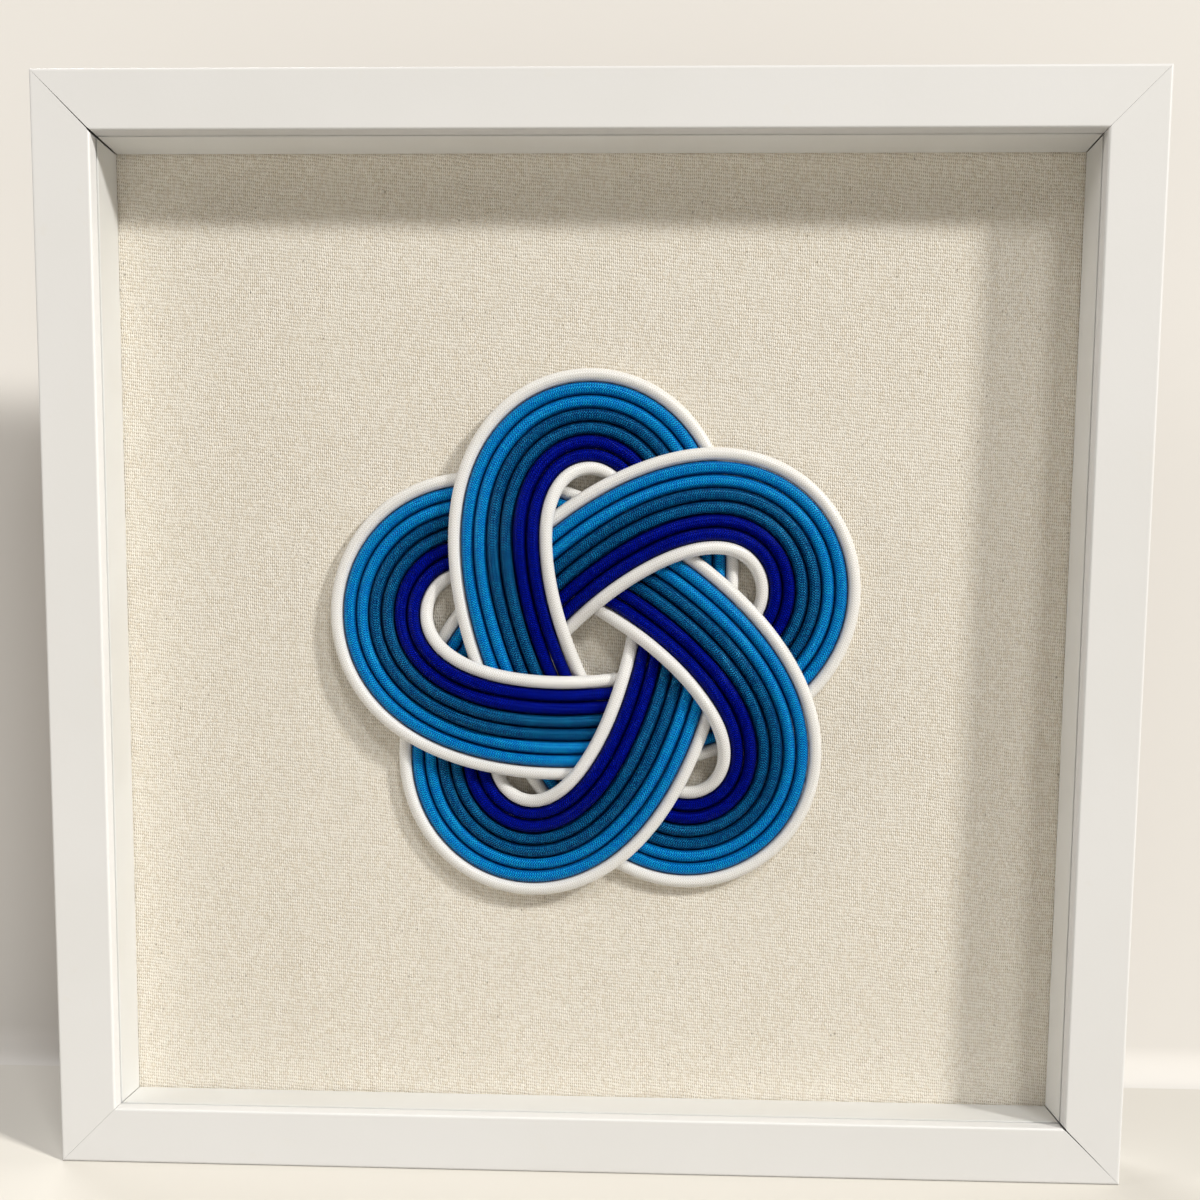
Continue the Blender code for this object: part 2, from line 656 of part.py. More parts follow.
def build():
    clear_scene()
    centre = bpy.data.objects.new("box_centre", None)
    bpy.context.scene.collection.objects.link(centre)
    centre.location = (0.0, 0.0, FRAME_SIZE / 2)

    paint = material("white_satin_paint", (0.82, 0.80, 0.77), 0.42)
    spacer_paint = material("white_spacer_paint", (0.80, 0.78, 0.75), 0.60)
    acrylic = material("clear_acrylic", (0.96, 0.97, 0.97), 0.05, alpha=0.12)
    cloth = material("natural_linen", (0.66, 0.58, 0.46), 0.95)
    card = material("grey_card", (0.55, 0.53, 0.49), 0.90)
    fibreboard = material("brown_fibreboard", (0.33, 0.22, 0.13), 0.75)
    plate = material("zinc_plate", (0.72, 0.72, 0.70), 0.35, metallic=1.0)
    steel = material("bright_steel", (0.62, 0.61, 0.58), 0.30, metallic=1.0)
    felt = material("grey_felt", (0.30, 0.29, 0.28), 0.98)
    cords = [material("cord_" + name, colour, 0.55) for name, colour in CORD_COLOURS]

    rails = make_rails(centre, paint)
    make_pane(centre, acrylic)
    make_spacers(centre, spacer_paint)
    make_linen(centre, cloth)
    make_board(centre, card)
    panel = make_back_panel(centre, fibreboard)
    make_knot(centre, cords)
    make_turn_buttons(centre, rails, plate, steel)
    make_wedges(centre, rails, steel)
    make_hanger(centre, panel, plate, steel)
    make_bumpers(centre, felt)


build()
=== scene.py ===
"""Looks of the knot shadow box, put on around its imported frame.

The file follows the box as it is put together: rails and wedges, pane, spacers, linen on its board,
the knot, the back panel, turn buttons, hanger and bumpers, and last the floor, the lamps and the camera.
Everything is in metres, +Z up, and the front faces -Y."""

import json
from math import acos, cos, pi, radians, sin, tau

import bpy
import numpy as np
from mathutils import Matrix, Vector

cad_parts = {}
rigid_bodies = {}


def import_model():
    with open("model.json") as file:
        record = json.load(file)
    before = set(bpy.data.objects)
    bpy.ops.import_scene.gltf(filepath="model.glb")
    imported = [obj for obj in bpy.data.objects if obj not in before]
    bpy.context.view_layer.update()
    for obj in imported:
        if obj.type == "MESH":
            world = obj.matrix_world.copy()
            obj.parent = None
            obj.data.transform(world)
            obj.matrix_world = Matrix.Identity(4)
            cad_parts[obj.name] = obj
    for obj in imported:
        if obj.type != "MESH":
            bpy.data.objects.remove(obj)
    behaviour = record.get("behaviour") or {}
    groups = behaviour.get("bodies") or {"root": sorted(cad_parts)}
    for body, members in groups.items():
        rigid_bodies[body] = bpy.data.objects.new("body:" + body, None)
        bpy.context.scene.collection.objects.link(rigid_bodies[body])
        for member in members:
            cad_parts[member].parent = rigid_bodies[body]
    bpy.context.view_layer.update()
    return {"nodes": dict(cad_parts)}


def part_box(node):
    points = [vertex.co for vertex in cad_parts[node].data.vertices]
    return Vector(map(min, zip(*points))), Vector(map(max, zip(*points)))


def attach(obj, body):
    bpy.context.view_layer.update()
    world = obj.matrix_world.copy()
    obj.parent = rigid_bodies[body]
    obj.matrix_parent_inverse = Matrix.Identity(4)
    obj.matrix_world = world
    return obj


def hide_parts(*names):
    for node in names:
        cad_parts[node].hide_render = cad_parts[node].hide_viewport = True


for startup_object in list(bpy.data.objects):
    bpy.data.objects.remove(startup_object, do_unlink=True)

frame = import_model()


# Frame rails
# Four lengths of one wood-fibre moulding, a face lip in front and a wall behind it, sprayed satin white.
# They are mitred, glued, and locked from behind by steel wedges. The spray all but fills the joints, but
# two of them stand open right at the lip.

RAIL_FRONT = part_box("frame_rail_bottom")[0].y
RAIL_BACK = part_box("frame_rail_bottom")[1].y
HALF_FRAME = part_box("frame_rail_right")[1].x
MIDDLE_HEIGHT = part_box("frame_rail_top")[1].z / 2
FACE_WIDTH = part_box("frame_rail_bottom")[1].z
MITRE_GAP = 0.00005
WALL_THICKNESS = 0.0075
SEAT_GAP = 0.0003
PANE_SLIP = 0.00006
LIP_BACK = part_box("clear_pane")[0].y - PANE_SLIP
OUTER_EDGE_RADIUS = 0.0008
INNER_EDGE_RADIUS = 0.0007
LIP_BACK_RADIUS = 0.0003
MITRE_ARRIS = 0.00006
OPEN_MITRE = 0.00038
OPEN_MITRE_FROM = 0.0152
OPEN_CORNERS = ("upper_left", "lower_right")
WEDGE_THICKNESS = 0.0006
EDGE_STEPS = 7
EDGE_HOLD = 0.0002
ARRIS_SHARES = np.array([0.0, 0.12, 0.35, 0.65, 1.0])
SIDES = ("bottom", "left", "top", "right")
CORNERS = ("lower_left", "upper_left", "upper_right", "lower_right")
PAINT_WHITE = (0.622, 0.618, 0.612)
PAINT_SHADE = (0.604, 0.599, 0.588)
PAINT_SCUFF = (0.60, 0.57, 0.51)
PAINT_RELIEF = 0.00004
SMOOTH_ANGLE = radians(38.0)


class Value:
    """One output of a material's node. Arithmetic on it adds Math nodes."""

    def __init__(self, finish, socket):
        self.finish = finish
        self.socket = socket

    def __add__(self, other):
        return self.finish.math("ADD", self, other)

    def __radd__(self, other):
        return self.finish.math("ADD", other, self)

    def __sub__(self, other):
        return self.finish.math("SUBTRACT", self, other)

    def __rsub__(self, other):
        return self.finish.math("SUBTRACT", other, self)

    def __mul__(self, other):
        return self.finish.math("MULTIPLY", self, other)

    def __rmul__(self, other):
        return self.finish.math("MULTIPLY", other, self)

    def __truediv__(self, other):
        return self.finish.math("DIVIDE", self, other)

    def __pow__(self, other):
        return self.finish.math("POWER", self, other)

    def __mod__(self, other):
        return self.finish.math("FLOORED_MODULO", self, other)


class Nodes:
    """A node tree under way."""

    def __init__(self, tree):
        self.tree = tree

    def feed(self, node, sockets):
        """Each socket gets its number or colour, or a link from the value's own socket."""
        for key, value in sockets.items():
            socket = node.inputs[key]
            if isinstance(value, Value):
                self.tree.links.new(value.socket, socket)
            elif isinstance(value, tuple) and len(value) == 3 and socket.type == "RGBA":
                socket.default_value = (*value, 1.0)
            else:
                socket.default_value = value

    def node(self, kind, settings, sockets, output=0):
        """Adds a node: its settings first, and then its sockets."""
        made = self.tree.nodes.new("ShaderNode" + kind)
        for key, value in settings.items():
            setattr(made, key, value)
        self.feed(made, sockets)
        return Value(self, made.outputs[output])

    def math(self, operation, *values):
        """A Math node on values and numbers."""
        return self.node("Math", {"operation": operation}, dict(enumerate(values)))

    def limits(self, value, low, high):
        """0 below low, 1 above high, and a soft step between them."""
        settings = {"interpolation_type": "SMOOTHSTEP"}
        return self.node("MapRange", settings, {0: value, 1: low, 2: high})

    def mix(self, share, first, second):
        """From the first colour to the second as share goes from 0 to 1."""
        return self.node("Mix", {"data_type": "RGBA"}, {0: share, 6: first, 7: second}, 2)

    def light_path(self, *kinds):
        """1 for a ray of any of these kinds, and 0 for the others."""
        path = [self.node("LightPath", {}, {}, f"Is {kind} Ray") for kind in kinds]
        return self.math("MINIMUM", sum(path, 0.0), 1.0)


class Finish(Nodes):
    """A material under way: one Principled shader and the nodes that feed it."""

    def __init__(self, name, **sockets):
        self.material = bpy.data.materials.new(name)
        self.material.use_nodes = True
        super().__init__(self.material.node_tree)
        self.shader = self.tree.nodes["Principled BSDF"]
        self.feed(self.shader, {key.replace("_", " "): value for key, value in sockets.items()})

    def show(self, surface):
        """Puts another shader than the Principled one on the surface."""
        self.tree.links.new(surface.socket, self.tree.nodes["Material Output"].inputs["Surface"])

    def place(self, stretch=(1.0, 1.0, 1.0), source="Object"):
        """Coordinates on the piece, each axis stretched by its own number."""
        where = self.node("TexCoord", {}, {}, source)
        return self.node("VectorMath", {"operation": "MULTIPLY"}, {0: where, 1: stretch})

    def axis(self, where, name):
        """One of a place's three coordinates."""
        return self.node("SeparateXYZ", {}, {0: where}, name)

    def noise(self, where, scale, detail=2.0, rough=0.5):
        """Fractal noise from 0 to 1: scale is its waves to a unit of length, detail its finer octaves."""
        sockets = {"Vector": where, "Scale": scale, "Detail": detail, "Roughness": rough}
        return self.node("TexNoise", {}, sockets)

    def random(self, number):
        """A steady random value from 0 to 1 for each number."""
        return self.node("TexWhiteNoise", {"noise_dimensions": "1D"}, {"W": number})

    def bump(self, height, depth, strength=1.0):
        """Height runs from 0 to 1, and depth is what that makes in metres."""
        relief = self.node("Bump", {}, {"Height": height, "Distance": depth, "Strength": strength})
        self.feed(self.shader, {"Normal": relief})

    def wear(self, *nodes):
        """Gives the CAD objects of these nodes the material."""
        for name in nodes:
            materials = frame["nodes"][name].data.materials
            materials.clear()
            materials.append(self.material)


def new_object(name, data):
    """A new object in the scene, at the origin."""
    made = bpy.data.objects.new(name, data)
    bpy.context.scene.collection.objects.link(made)
    return made


def make_piece(name, points, faces, finish, body="frame", smooth=SMOOTH_ANGLE):
    """A mesh of points and faces, its faces turned outwards by the sign of its volume, riding on a body."""
    mesh = bpy.data.meshes.new(name)
    mesh.from_pydata(points.tolist(), [], faces)
    mesh.calc_loop_triangles()
    corners = np.zeros(len(mesh.loop_triangles) * 3, np.int32)
    mesh.loop_triangles.foreach_get("vertices", corners)
    first, second, third = np.moveaxis(points[corners.reshape(-1, 3)], 1, 0)
    if (first * np.cross(second, third)).sum() < 0:
        mesh.flip_normals()
    mesh.shade_smooth()
    mesh.set_sharp_from_angle(angle=smooth)
    mesh.materials.append(finish.material)
    made = new_object(name, mesh)
    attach(made, body)
    return made


def grid_faces(rows, columns, wrap_rows=False):
    """The four corners of each cell of a grid of points, row after row. The last column meets the first."""
    row = np.arange(rows if wrap_rows else rows - 1)[:, None]
    column = np.arange(columns)[None]
    next_row = (row + 1) % rows * columns
    next_column = (column + 1) % columns
    row = row * columns
    cell = [row + column, row + next_column, next_row + next_column, next_row + column]
    return np.stack(np.broadcast_arrays(*cell), axis=-1).reshape(-1, 4)


def capped(rings):
    """Rings of points, one after another, joined to a tube with one face across either end."""
    count = len(rings[0])
    last = (len(rings) - 1) * count
    faces = grid_faces(len(rings), count).tolist()
    faces.append(list(range(count))[::-1])
    faces.append(list(range(last, last + count)))
    return np.concatenate(rings), faces


def placed(points, quarter, x=0.0, y=0.0, z=MIDDLE_HEIGHT):
    """Points turned by quarter turns about the depth axis and moved to their place."""
    across = (1, 0, -1, 0)[quarter]
    up = (0, 1, 0, -1)[quarter]
    turned_x = points[:, 0] * across + points[:, 2] * up
    turned_z = points[:, 2] * across - points[:, 0] * up
    return np.stack([turned_x + x, points[:, 1] + y, turned_z + z], axis=1)


def arc(centre_inset, centre_depth, radius, start, steps=EDGE_STEPS):
    """A quarter turn of points (inset, depth) about a centre, from the angle start.

    One more point a little way along the tangent at either end keeps the flats beside it flat in
    the light."""
    angle = start + np.linspace(0.0, pi / 2, steps + 1)
    turn = np.stack([centre_inset + radius * np.cos(angle), centre_depth + radius * np.sin(angle)], axis=1)
    tangent = EDGE_HOLD * np.stack([-np.sin(angle), np.cos(angle)], axis=1)
    return np.concatenate([turn[:1] - tangent[:1], turn, turn[-1:] + tangent[-1:]])


def mitred_bar(profile, gap, openings, arris):
    """A closed profile of (inset from the frame's outer edge, depth) carried along the frame's foot.

    Each point's run stops at half the frame less its inset, half the gap and the opening at its end,
    which cuts both ends at 45 degrees. Over the last stretch the profile draws in along its own
    normals by a quarter circle of the arris radius, and one more ring holds the flats behind it.
    Each end, -1 or 1, has its own opening, one for all points or one for each."""
    ahead = np.roll(profile, -1, axis=0) - profile
    behind = profile - np.roll(profile, 1, axis=0)
    ahead = ahead / np.linalg.norm(ahead, axis=1, keepdims=True)
    behind = behind / np.linalg.norm(behind, axis=1, keepdims=True)
    along = ahead + behind
    inward = np.stack([-along[:, 1], along[:, 0]], axis=1)
    inward /= np.linalg.norm(inward, axis=1, keepdims=True)
    area = (profile[:, 0] * np.roll(profile[:, 1], -1) - np.roll(profile[:, 0], -1) * profile[:, 1]).sum()
    inward *= np.sign(area)
    rings = []
    distances = np.append(arris * ARRIS_SHARES, arris + EDGE_HOLD)
    for end, steps in ((-1, distances), (1, distances[::-1])):
        for distance in steps:
            drawn_in = arris - (arris ** 2 - max(arris - distance, 0.0) ** 2) ** 0.5
            ring = profile + inward * drawn_in
            run = HALF_FRAME - profile[:, 0] - gap / 2 - openings[end] - distance
            rings.append(np.stack([end * run, ring[:, 1], ring[:, 0] - HALF_FRAME], axis=1))
    return capped(rings)


def end_corners(number):
    """The corners at the two ends of a side, which are its own number's and the one before it."""
    return ((-1, CORNERS[number]), (1, CORNERS[number - 1]))


def opened(inset):
    """A mitre that opens towards the lip's inner edge, as a smooth step of the inset."""
    share = np.clip((inset - OPEN_MITRE_FROM) / (FACE_WIDTH - OPEN_MITRE_FROM), 0.0, 1.0)
    return OPEN_MITRE * share * share * (3 - 2 * share)


def prism(outline, front, back):
    """An outline of (x, z) rows carried straight back from one depth to another."""
    return capped([np.stack([outline[:, 0], np.full(len(outline), depth), outline[:, 1]], axis=1)
                   for depth in (front, back)])


def cut(target, cutters):
    """Takes the cutters' shapes out of the target's mesh for good, and removes the cutters."""
    for cutter in cutters:
        modifier = target.modifiers.new(cutter.name, "BOOLEAN")
        modifier.operation = "DIFFERENCE"
        modifier.object = cutter
    graph = bpy.context.evaluated_depsgraph_get()
    mesh = bpy.data.meshes.new_from_object(target.evaluated_get(graph))
    target.modifiers.clear()
    target.data = mesh
    mesh.shade_smooth()
    mesh.set_sharp_from_angle(angle=SMOOTH_ANGLE)
    for cutter in cutters:
        bpy.data.objects.remove(cutter, do_unlink=True)


def satin_paint():
    """Sprayed satin white: a faint orange-peel skin, slow changes of tone, and a few dull scuffs."""
    paint = Finish("satin_white_paint", Specular_IOR_Level=0.42)
    where = paint.place()
    tone = paint.limits(paint.noise(where, 14.0, 3.0), 0.35, 0.70)
    peel = paint.noise(where, 620.0, 2.0)
    grain = paint.noise(where, 2600.0, 1.0)
    scuff = paint.limits(paint.noise(where, 95.0, 4.0, 0.65), 0.62, 0.74)
    colour = paint.mix(tone * 0.8, PAINT_WHITE, PAINT_SHADE)
    colour = paint.mix(scuff * 0.16, colour, PAINT_SCUFF)
    paint.feed(paint.shader, {"Base Color": colour, "Roughness": 0.36 + peel * 0.10 + scuff * 0.12})
    paint.bump(peel * 0.75 + grain * 0.25, PAINT_RELIEF, 0.55)
    return paint


rail_profile = np.concatenate([
    arc(OUTER_EDGE_RADIUS, RAIL_FRONT + OUTER_EDGE_RADIUS, OUTER_EDGE_RADIUS, pi),
    arc(FACE_WIDTH - INNER_EDGE_RADIUS, RAIL_FRONT + INNER_EDGE_RADIUS, INNER_EDGE_RADIUS, -pi / 2),
    arc(FACE_WIDTH - LIP_BACK_RADIUS, LIP_BACK - LIP_BACK_RADIUS, LIP_BACK_RADIUS, 0.0, 3),
    np.array([[WALL_THICKNESS, LIP_BACK]]),
    arc(WALL_THICKNESS - LIP_BACK_RADIUS, RAIL_BACK - LIP_BACK_RADIUS, LIP_BACK_RADIUS, 0.0, 3),
    arc(LIP_BACK_RADIUS, RAIL_BACK - LIP_BACK_RADIUS, LIP_BACK_RADIUS, pi / 2, 3),
])
rail_paint = satin_paint()


def wedge_slot(corner):
    """The V-shaped slot of a corner's wedge, from the wedge's own box and thickness, open at the back."""
    low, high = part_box("mitre_wedge_" + corner)
    x = [low.x - SEAT_GAP, high.x + SEAT_GAP]
    z = [low.z - SEAT_GAP, high.z + SEAT_GAP]
    if "right" in corner:
        x.reverse()
    if "upper" in corner:
        z.reverse()
    arm = WEDGE_THICKNESS + 2 * SEAT_GAP
    arm_x = arm if x[1] > x[0] else -arm
    arm_z = arm if z[1] > z[0] else -arm
    outline = np.array([[x[0], z[1]], [x[0], z[1] - arm_z], [x[1] - arm_x, z[1] - arm_z],
                        [x[1] - arm_x, z[0]], [x[1], z[0]], [x[1], z[1]]])
    points, faces = prism(outline, low.y - SEAT_GAP, RAIL_BACK + 2 * SEAT_GAP)
    return make_piece("wedge_slot_" + corner, points, faces, rail_paint)


for number, side in enumerate(SIDES):
    openings = {end: opened(rail_profile[:, 0]) if corner in OPEN_CORNERS else 0.0
                for end, corner in end_corners(number)}
    points, faces = mitred_bar(rail_profile, MITRE_GAP, openings, MITRE_ARRIS)
    rail = make_piece("rail_" + side, placed(points, number), faces, rail_paint)
    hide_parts("frame_rail_" + side)
    cut(rail, [wedge_slot(CORNERS[number - 1]), wedge_slot(CORNERS[number])])


# Mitre wedges
# A V of thin blued steel strip in each corner, driven in from behind by a press so that it locks two
# rails together. Only its rear edge shows, just inside the rails' back faces.

BLUED_STEEL = (0.40, 0.41, 0.44)
TARNISH_DEPTH = 0.62
SCRATCH_RELIEF = 0.00001


def bright_metal(name, colour, roughness, scratch):
    """Bare or plated steel: fine scratches both ways, and a little tarnish in slow patches."""
    metal = Finish(name, Metallic=1.0)
    along = metal.noise(metal.place((1.0, 1.0, 40.0)), 900.0, 2.0)
    across = metal.noise(metal.place((40.0, 1.0, 1.0)), 900.0, 2.0)
    patch = metal.limits(metal.noise(metal.place(), 260.0, 3.0), 0.40, 0.70)
    dull = tuple(channel * TARNISH_DEPTH for channel in colour)
    metal.feed(metal.shader, {"Base Color": metal.mix(patch * 0.45, colour, dull),
                              "Roughness": roughness + patch * 0.16 + along * scratch})
    metal.bump(along * 0.5 + across * 0.5, SCRATCH_RELIEF, 0.6)
    return metal


wedge_steel = bright_metal("wedge_steel", BLUED_STEEL, 0.30, 0.10)
wedge_steel.wear(*("mitre_wedge_" + corner for corner in CORNERS))


# Clear pane
# A sheet of clear cast acrylic, one millimetre thick, with a low-glare coating. It drops into the rabbet
# behind the lip, and from the front it hardly shows.

pane = Finish("clear_pane")
clear = pane.node("BsdfTransparent", {}, {})
gloss = pane.node("BsdfAnisotropic", {}, {"Color": (1.0, 1.0, 1.0), "Roughness": 0.02})
rim = pane.node("LayerWeight", {}, {"Blend": 0.22}, "Fresnel")
pane_surface = pane.node("MixShader", {}, {0: rim * rim * 0.5, 1: clear, 2: gloss})
pane.show(pane_surface)
pane.wear("clear_pane")


# Spacer strips
# Four strips of white wrapped fibreboard that stand between pane and linen and line the box's inside.
# They are cut by hand on a mitre box and wedged in, so their corners close unevenly.

SPACER_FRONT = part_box("clear_pane")[1].y + PANE_SLIP
SPACER_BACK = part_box("spacer_bottom")[1].y
SPACER_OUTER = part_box("spacer_bottom")[0].z
SPACER_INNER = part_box("spacer_bottom")[1].z
SPACER_EDGE = 0.00025
SPACER_BACK_EDGE = 0.00045
SPACER_ARRIS = 0.00012
SPACER_WHITE = (0.800, 0.806, 0.800)
SPACER_SHADE = (0.775, 0.775, 0.760)
SPACER_RELIEF = 0.00007
SPACER_GAPS = dict(zip(CORNERS, (0.00008, 0.00050, 0.00034, 0.00030)))


def wrapped_board():
    """Matt white wrap over fibreboard: a faint papery tooth, and a warmer tone in slow patches."""
    wrap = Finish("spacer_wrap", Specular_IOR_Level=0.35)
    where = wrap.place()
    tone = wrap.limits(wrap.noise(where, 30.0, 3.0), 0.35, 0.70)
    tooth = wrap.noise(where, 1500.0, 3.0, 0.6)
    wave = wrap.noise(wrap.place((1.0, 6.0, 1.0)), 40.0, 2.0)
    wrap.feed(wrap.shader, {"Base Color": wrap.mix(tone, SPACER_WHITE, SPACER_SHADE),
                            "Roughness": 0.52 + tooth * 0.14})
    wrap.bump(tooth * 0.3 + wave * 0.7, SPACER_RELIEF, 0.6)
    return wrap


spacer_profile = np.concatenate([
    arc(SPACER_OUTER + SPACER_EDGE, SPACER_FRONT + SPACER_EDGE, SPACER_EDGE, pi, 3),
    arc(SPACER_INNER - SPACER_EDGE, SPACER_FRONT + SPACER_EDGE, SPACER_EDGE, -pi / 2, 3),
    arc(SPACER_INNER - SPACER_BACK_EDGE, SPACER_BACK - SPACER_BACK_EDGE, SPACER_BACK_EDGE, 0.0, 4),
    arc(SPACER_OUTER + SPACER_EDGE, SPACER_BACK - SPACER_EDGE, SPACER_EDGE, pi / 2, 3),
])
spacer_wrap = wrapped_board()
for number, side in enumerate(SIDES):
    openings = {end: SPACER_GAPS[corner] / 2 for end, corner in end_corners(number)}
    points, faces = mitred_bar(spacer_profile, 0.0, openings, SPACER_ARRIS)
    strip = make_piece("spacer_strip_" + side, placed(points, number), faces, spacer_wrap)
    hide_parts("spacer_" + side)


# Linen
# One square of natural plain-weave linen, drawn flat over the mount board and glued down behind it
# on all four sides, with its corners cut out. The yarn is uneven, with slubs and dark flecks of straw.

LINEN_LOW, LINEN_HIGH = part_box("linen_facing")
LINEN_THICKNESS = 0.00045
LINEN_TURN_IN = 0.015
LINEN_BEND = 0.0006
LINEN_CELLS = 190
LINEN_WAVER = 0.00003
LINEN_RELIEF = 0.00035
WARP_PITCH = 0.00061
WEFT_PITCH = 0.00102
WEFT_SKEW = 0.096
# The linen's light and dark colours span its yarns' own tones and also painted shade, darker towards the
# hollows of the weave.
LINEN_LIGHT = (1.000, 0.955, 0.865)
LINEN_DARK = (0.835, 0.755, 0.625)
# The colour of the painted shade in the pits between the yarns.
LINEN_PIT_SHADE = (0.350, 0.275, 0.185)
LINEN_STRAW = (0.26, 0.21, 0.15)
WEAVE_DRIFT = 0.0018
WEAVE_DRIFT_UP = 0.0022
linen_half = LINEN_HIGH.x
linen_fold = LINEN_HIGH.y - LINEN_LOW.y
linen_reach = linen_half - LINEN_BEND
linen_quarter = LINEN_BEND * pi / 2
linen_straight = linen_fold - 2 * LINEN_BEND


def fold_over(distance):
    """Where a point at a distance along the cloth from the middle ends up.

    The cloth runs flat to a bend at the board's edge, back along it, round a second bend, and in
    again. What comes back is the place across, the depth, and how far the point is turned in."""
    past = np.clip(abs(distance) - linen_reach, 0.0, None)
    first = np.clip(past, 0.0, linen_quarter) / LINEN_BEND
    down = np.clip(past - linen_quarter, 0.0, linen_straight)
    second = np.clip(past - linen_quarter - linen_straight, 0.0, linen_quarter) / LINEN_BEND
    turned = np.clip(past - 2 * linen_quarter - linen_straight, 0.0, None)
    flat = np.minimum(abs(distance), linen_reach)
    across = flat + LINEN_BEND * np.sin(first) - LINEN_BEND * (1 - np.cos(second)) - turned
    depth = LINEN_BEND * (1 - np.cos(first)) + down + LINEN_BEND * np.sin(second)
    return np.sign(distance) * across, depth, turned


def linen_surface():
    """A grid of the flat cloth, folded first across and then up.

    Where both would fold, the corner is cut out. The turned-in flaps narrow by as much as they reach
    in, which mitres them. The face wavers by a few hundredths of a millimetre, as a sum of slow sine
    waves in both directions."""
    flap = linen_reach
    stretches = ((linen_quarter, 4), (linen_straight, 2), (linen_quarter, 4), (LINEN_TURN_IN, 4))
    outer = []
    for length, cells in stretches:
        outer.append(flap + np.linspace(0.0, length, cells + 1)[1:])
        flap += length
    outer = np.concatenate(outer)
    line = np.concatenate([-outer[::-1], np.linspace(-linen_reach, linen_reach, LINEN_CELLS + 1), outer])
    across, across_depth, across_turned = fold_over(line)
    x = np.broadcast_to(across[None], (len(line), len(line)))
    z = np.broadcast_to(across[:, None], (len(line), len(line)))
    turned_x = across_turned[None] + 0 * z
    turned_z = across_turned[:, None] + 0 * x
    depth = across_depth[None] + across_depth[:, None]
    waver = (np.sin(47 * x + 61 * z + 0.4) + np.sin(83 * x - 29 * z + 2.1) + np.sin(23 * x + 131 * z + 4.0)
             + 0.6 * np.sin(190 * x + 17 * z) * np.sin(31 * x - 210 * z))
    face = (abs(line)[None] < linen_reach) & (abs(line)[:, None] < linen_reach)
    y = LINEN_LOW.y + depth + np.where(face, LINEN_WAVER * (1.6 + waver), 0.0)
    x = x * (1 - turned_z / linen_half)
    z = z * (1 - turned_x / linen_half) + MIDDLE_HEIGHT
    points = np.stack([x, y, z], axis=-1)
    count = len(line)
    corner = np.arange(count * count).reshape(count, count)
    cells = np.stack([corner[:-1, :-1], corner[:-1, 1:], corner[1:, 1:], corner[1:, :-1]], axis=-1)
    middle = abs(line[:-1] + line[1:]) / 2 < linen_reach
    cells = cells[middle[None] | middle[:, None]]
    kept, renumbered = np.unique(cells, return_inverse=True)
    return points.reshape(-1, 3)[kept], renumbered.reshape(-1, 4).tolist()


def woven_linen():
    """Plain weave: thin yarns up and thicker ones across, each a ridge that dives under its neighbours.

    A yarn's ridge is the sine of its own width, raised or sunk by the sine of the way along it, with
    the sign of its number plus its neighbour's. The upright warp is drawn tight and stands higher than
    the weft, which runs a little askew. The higher of the two ridges shows. Each crown has its own tone."""
    cloth = Finish("natural_linen", Roughness=0.9, Specular_IOR_Level=0.12)
    where = cloth.place()
    x = cloth.axis(where, "X")
    z = cloth.axis(where, "Z")
    drift = cloth.noise(where, 70.0, 4.0, 0.62) - 0.5
    drift_up = cloth.noise(cloth.place((1.0, 3.0, 1.1)), 74.0, 4.0, 0.62) - 0.5
    across = (x + drift * WEAVE_DRIFT) / WARP_PITCH
    up = (z + x * WEFT_SKEW + drift_up * WEAVE_DRIFT_UP) / WEFT_PITCH
    warp = cloth.math("FLOOR", across)
    weft = cloth.math("FLOOR", up)
    sign = 1 - (warp + weft) % 2.0 * 2
    crown_tone = cloth.random(warp + weft * 431.7)
    yarn_tone = cloth.random(warp) * 0.5 + cloth.random(weft + 0.37) * 0.5
    warp_slub = cloth.noise(cloth.place((1.0 / WARP_PITCH, 1.0, 210.0)), 0.8, 2.0, 0.6)
    weft_slub = cloth.noise(cloth.place((210.0, 1.0, 1.0 / WEFT_PITCH)), 0.8, 2.0, 0.6)
    warp_width = cloth.math("SINE", (across - warp) * pi)
    weft_width = cloth.math("SINE", (up - weft) * pi)
    warp_height = warp_width * (0.56 + weft_width * sign * 0.44) * (0.80 + warp_slub * 0.40)
    weft_height = weft_width * (0.36 - warp_width * sign * 0.24) * (0.80 + weft_slub * 0.40)
    height = cloth.math("MAXIMUM", warp_height, weft_height)
    on_top = cloth.limits(warp_height - weft_height, -0.05, 0.05)
    fibre_up = cloth.noise(cloth.place((16000.0, 1.0, 1800.0)), 1.0, 2.0, 0.6)
    fibre_across = cloth.noise(cloth.place((1800.0, 1.0, 16000.0)), 1.0, 2.0, 0.6)
    fibre = fibre_up * on_top + fibre_across * (1 - on_top)
    slow = cloth.noise(where, 12.0, 3.0, 0.6)
    # Besides the yarns' own tones, the high parts of the weave are painted lighter and the low parts
    # darker, as painted shade.
    tone = yarn_tone * 0.08 + crown_tone * 0.34 + slow * 0.18 + fibre * 0.22 + height * 0.46
    colour = cloth.mix(cloth.limits(tone, 0.26, 0.80), LINEN_DARK, LINEN_LIGHT)
    # Painted shade in the pits between the yarns, deeper in some pits than in others.
    pit_shade = cloth.limits(height, 0.36, 0.09) * (0.30 + cloth.random(warp + weft * 217.3) * 0.70)
    colour = cloth.mix(pit_shade, colour, LINEN_PIT_SHADE)
    long_spots = cloth.place((1.0, 1.0, 0.6))
    fleck = cloth.node("TexVoronoi", {"feature": "F1"}, {"Vector": long_spots, "Scale": 420.0})
    straw = cloth.limits(fleck, 0.13, 0.07) * cloth.limits(cloth.noise(where, 90.0, 2.0), 0.56, 0.62)
    colour = cloth.mix(straw * 0.60, colour, LINEN_STRAW)
    cloth.feed(cloth.shader, {"Base Color": colour})
    cloth.bump(height * 0.92 + fibre * 0.08, LINEN_RELIEF, 1.0)
    return cloth


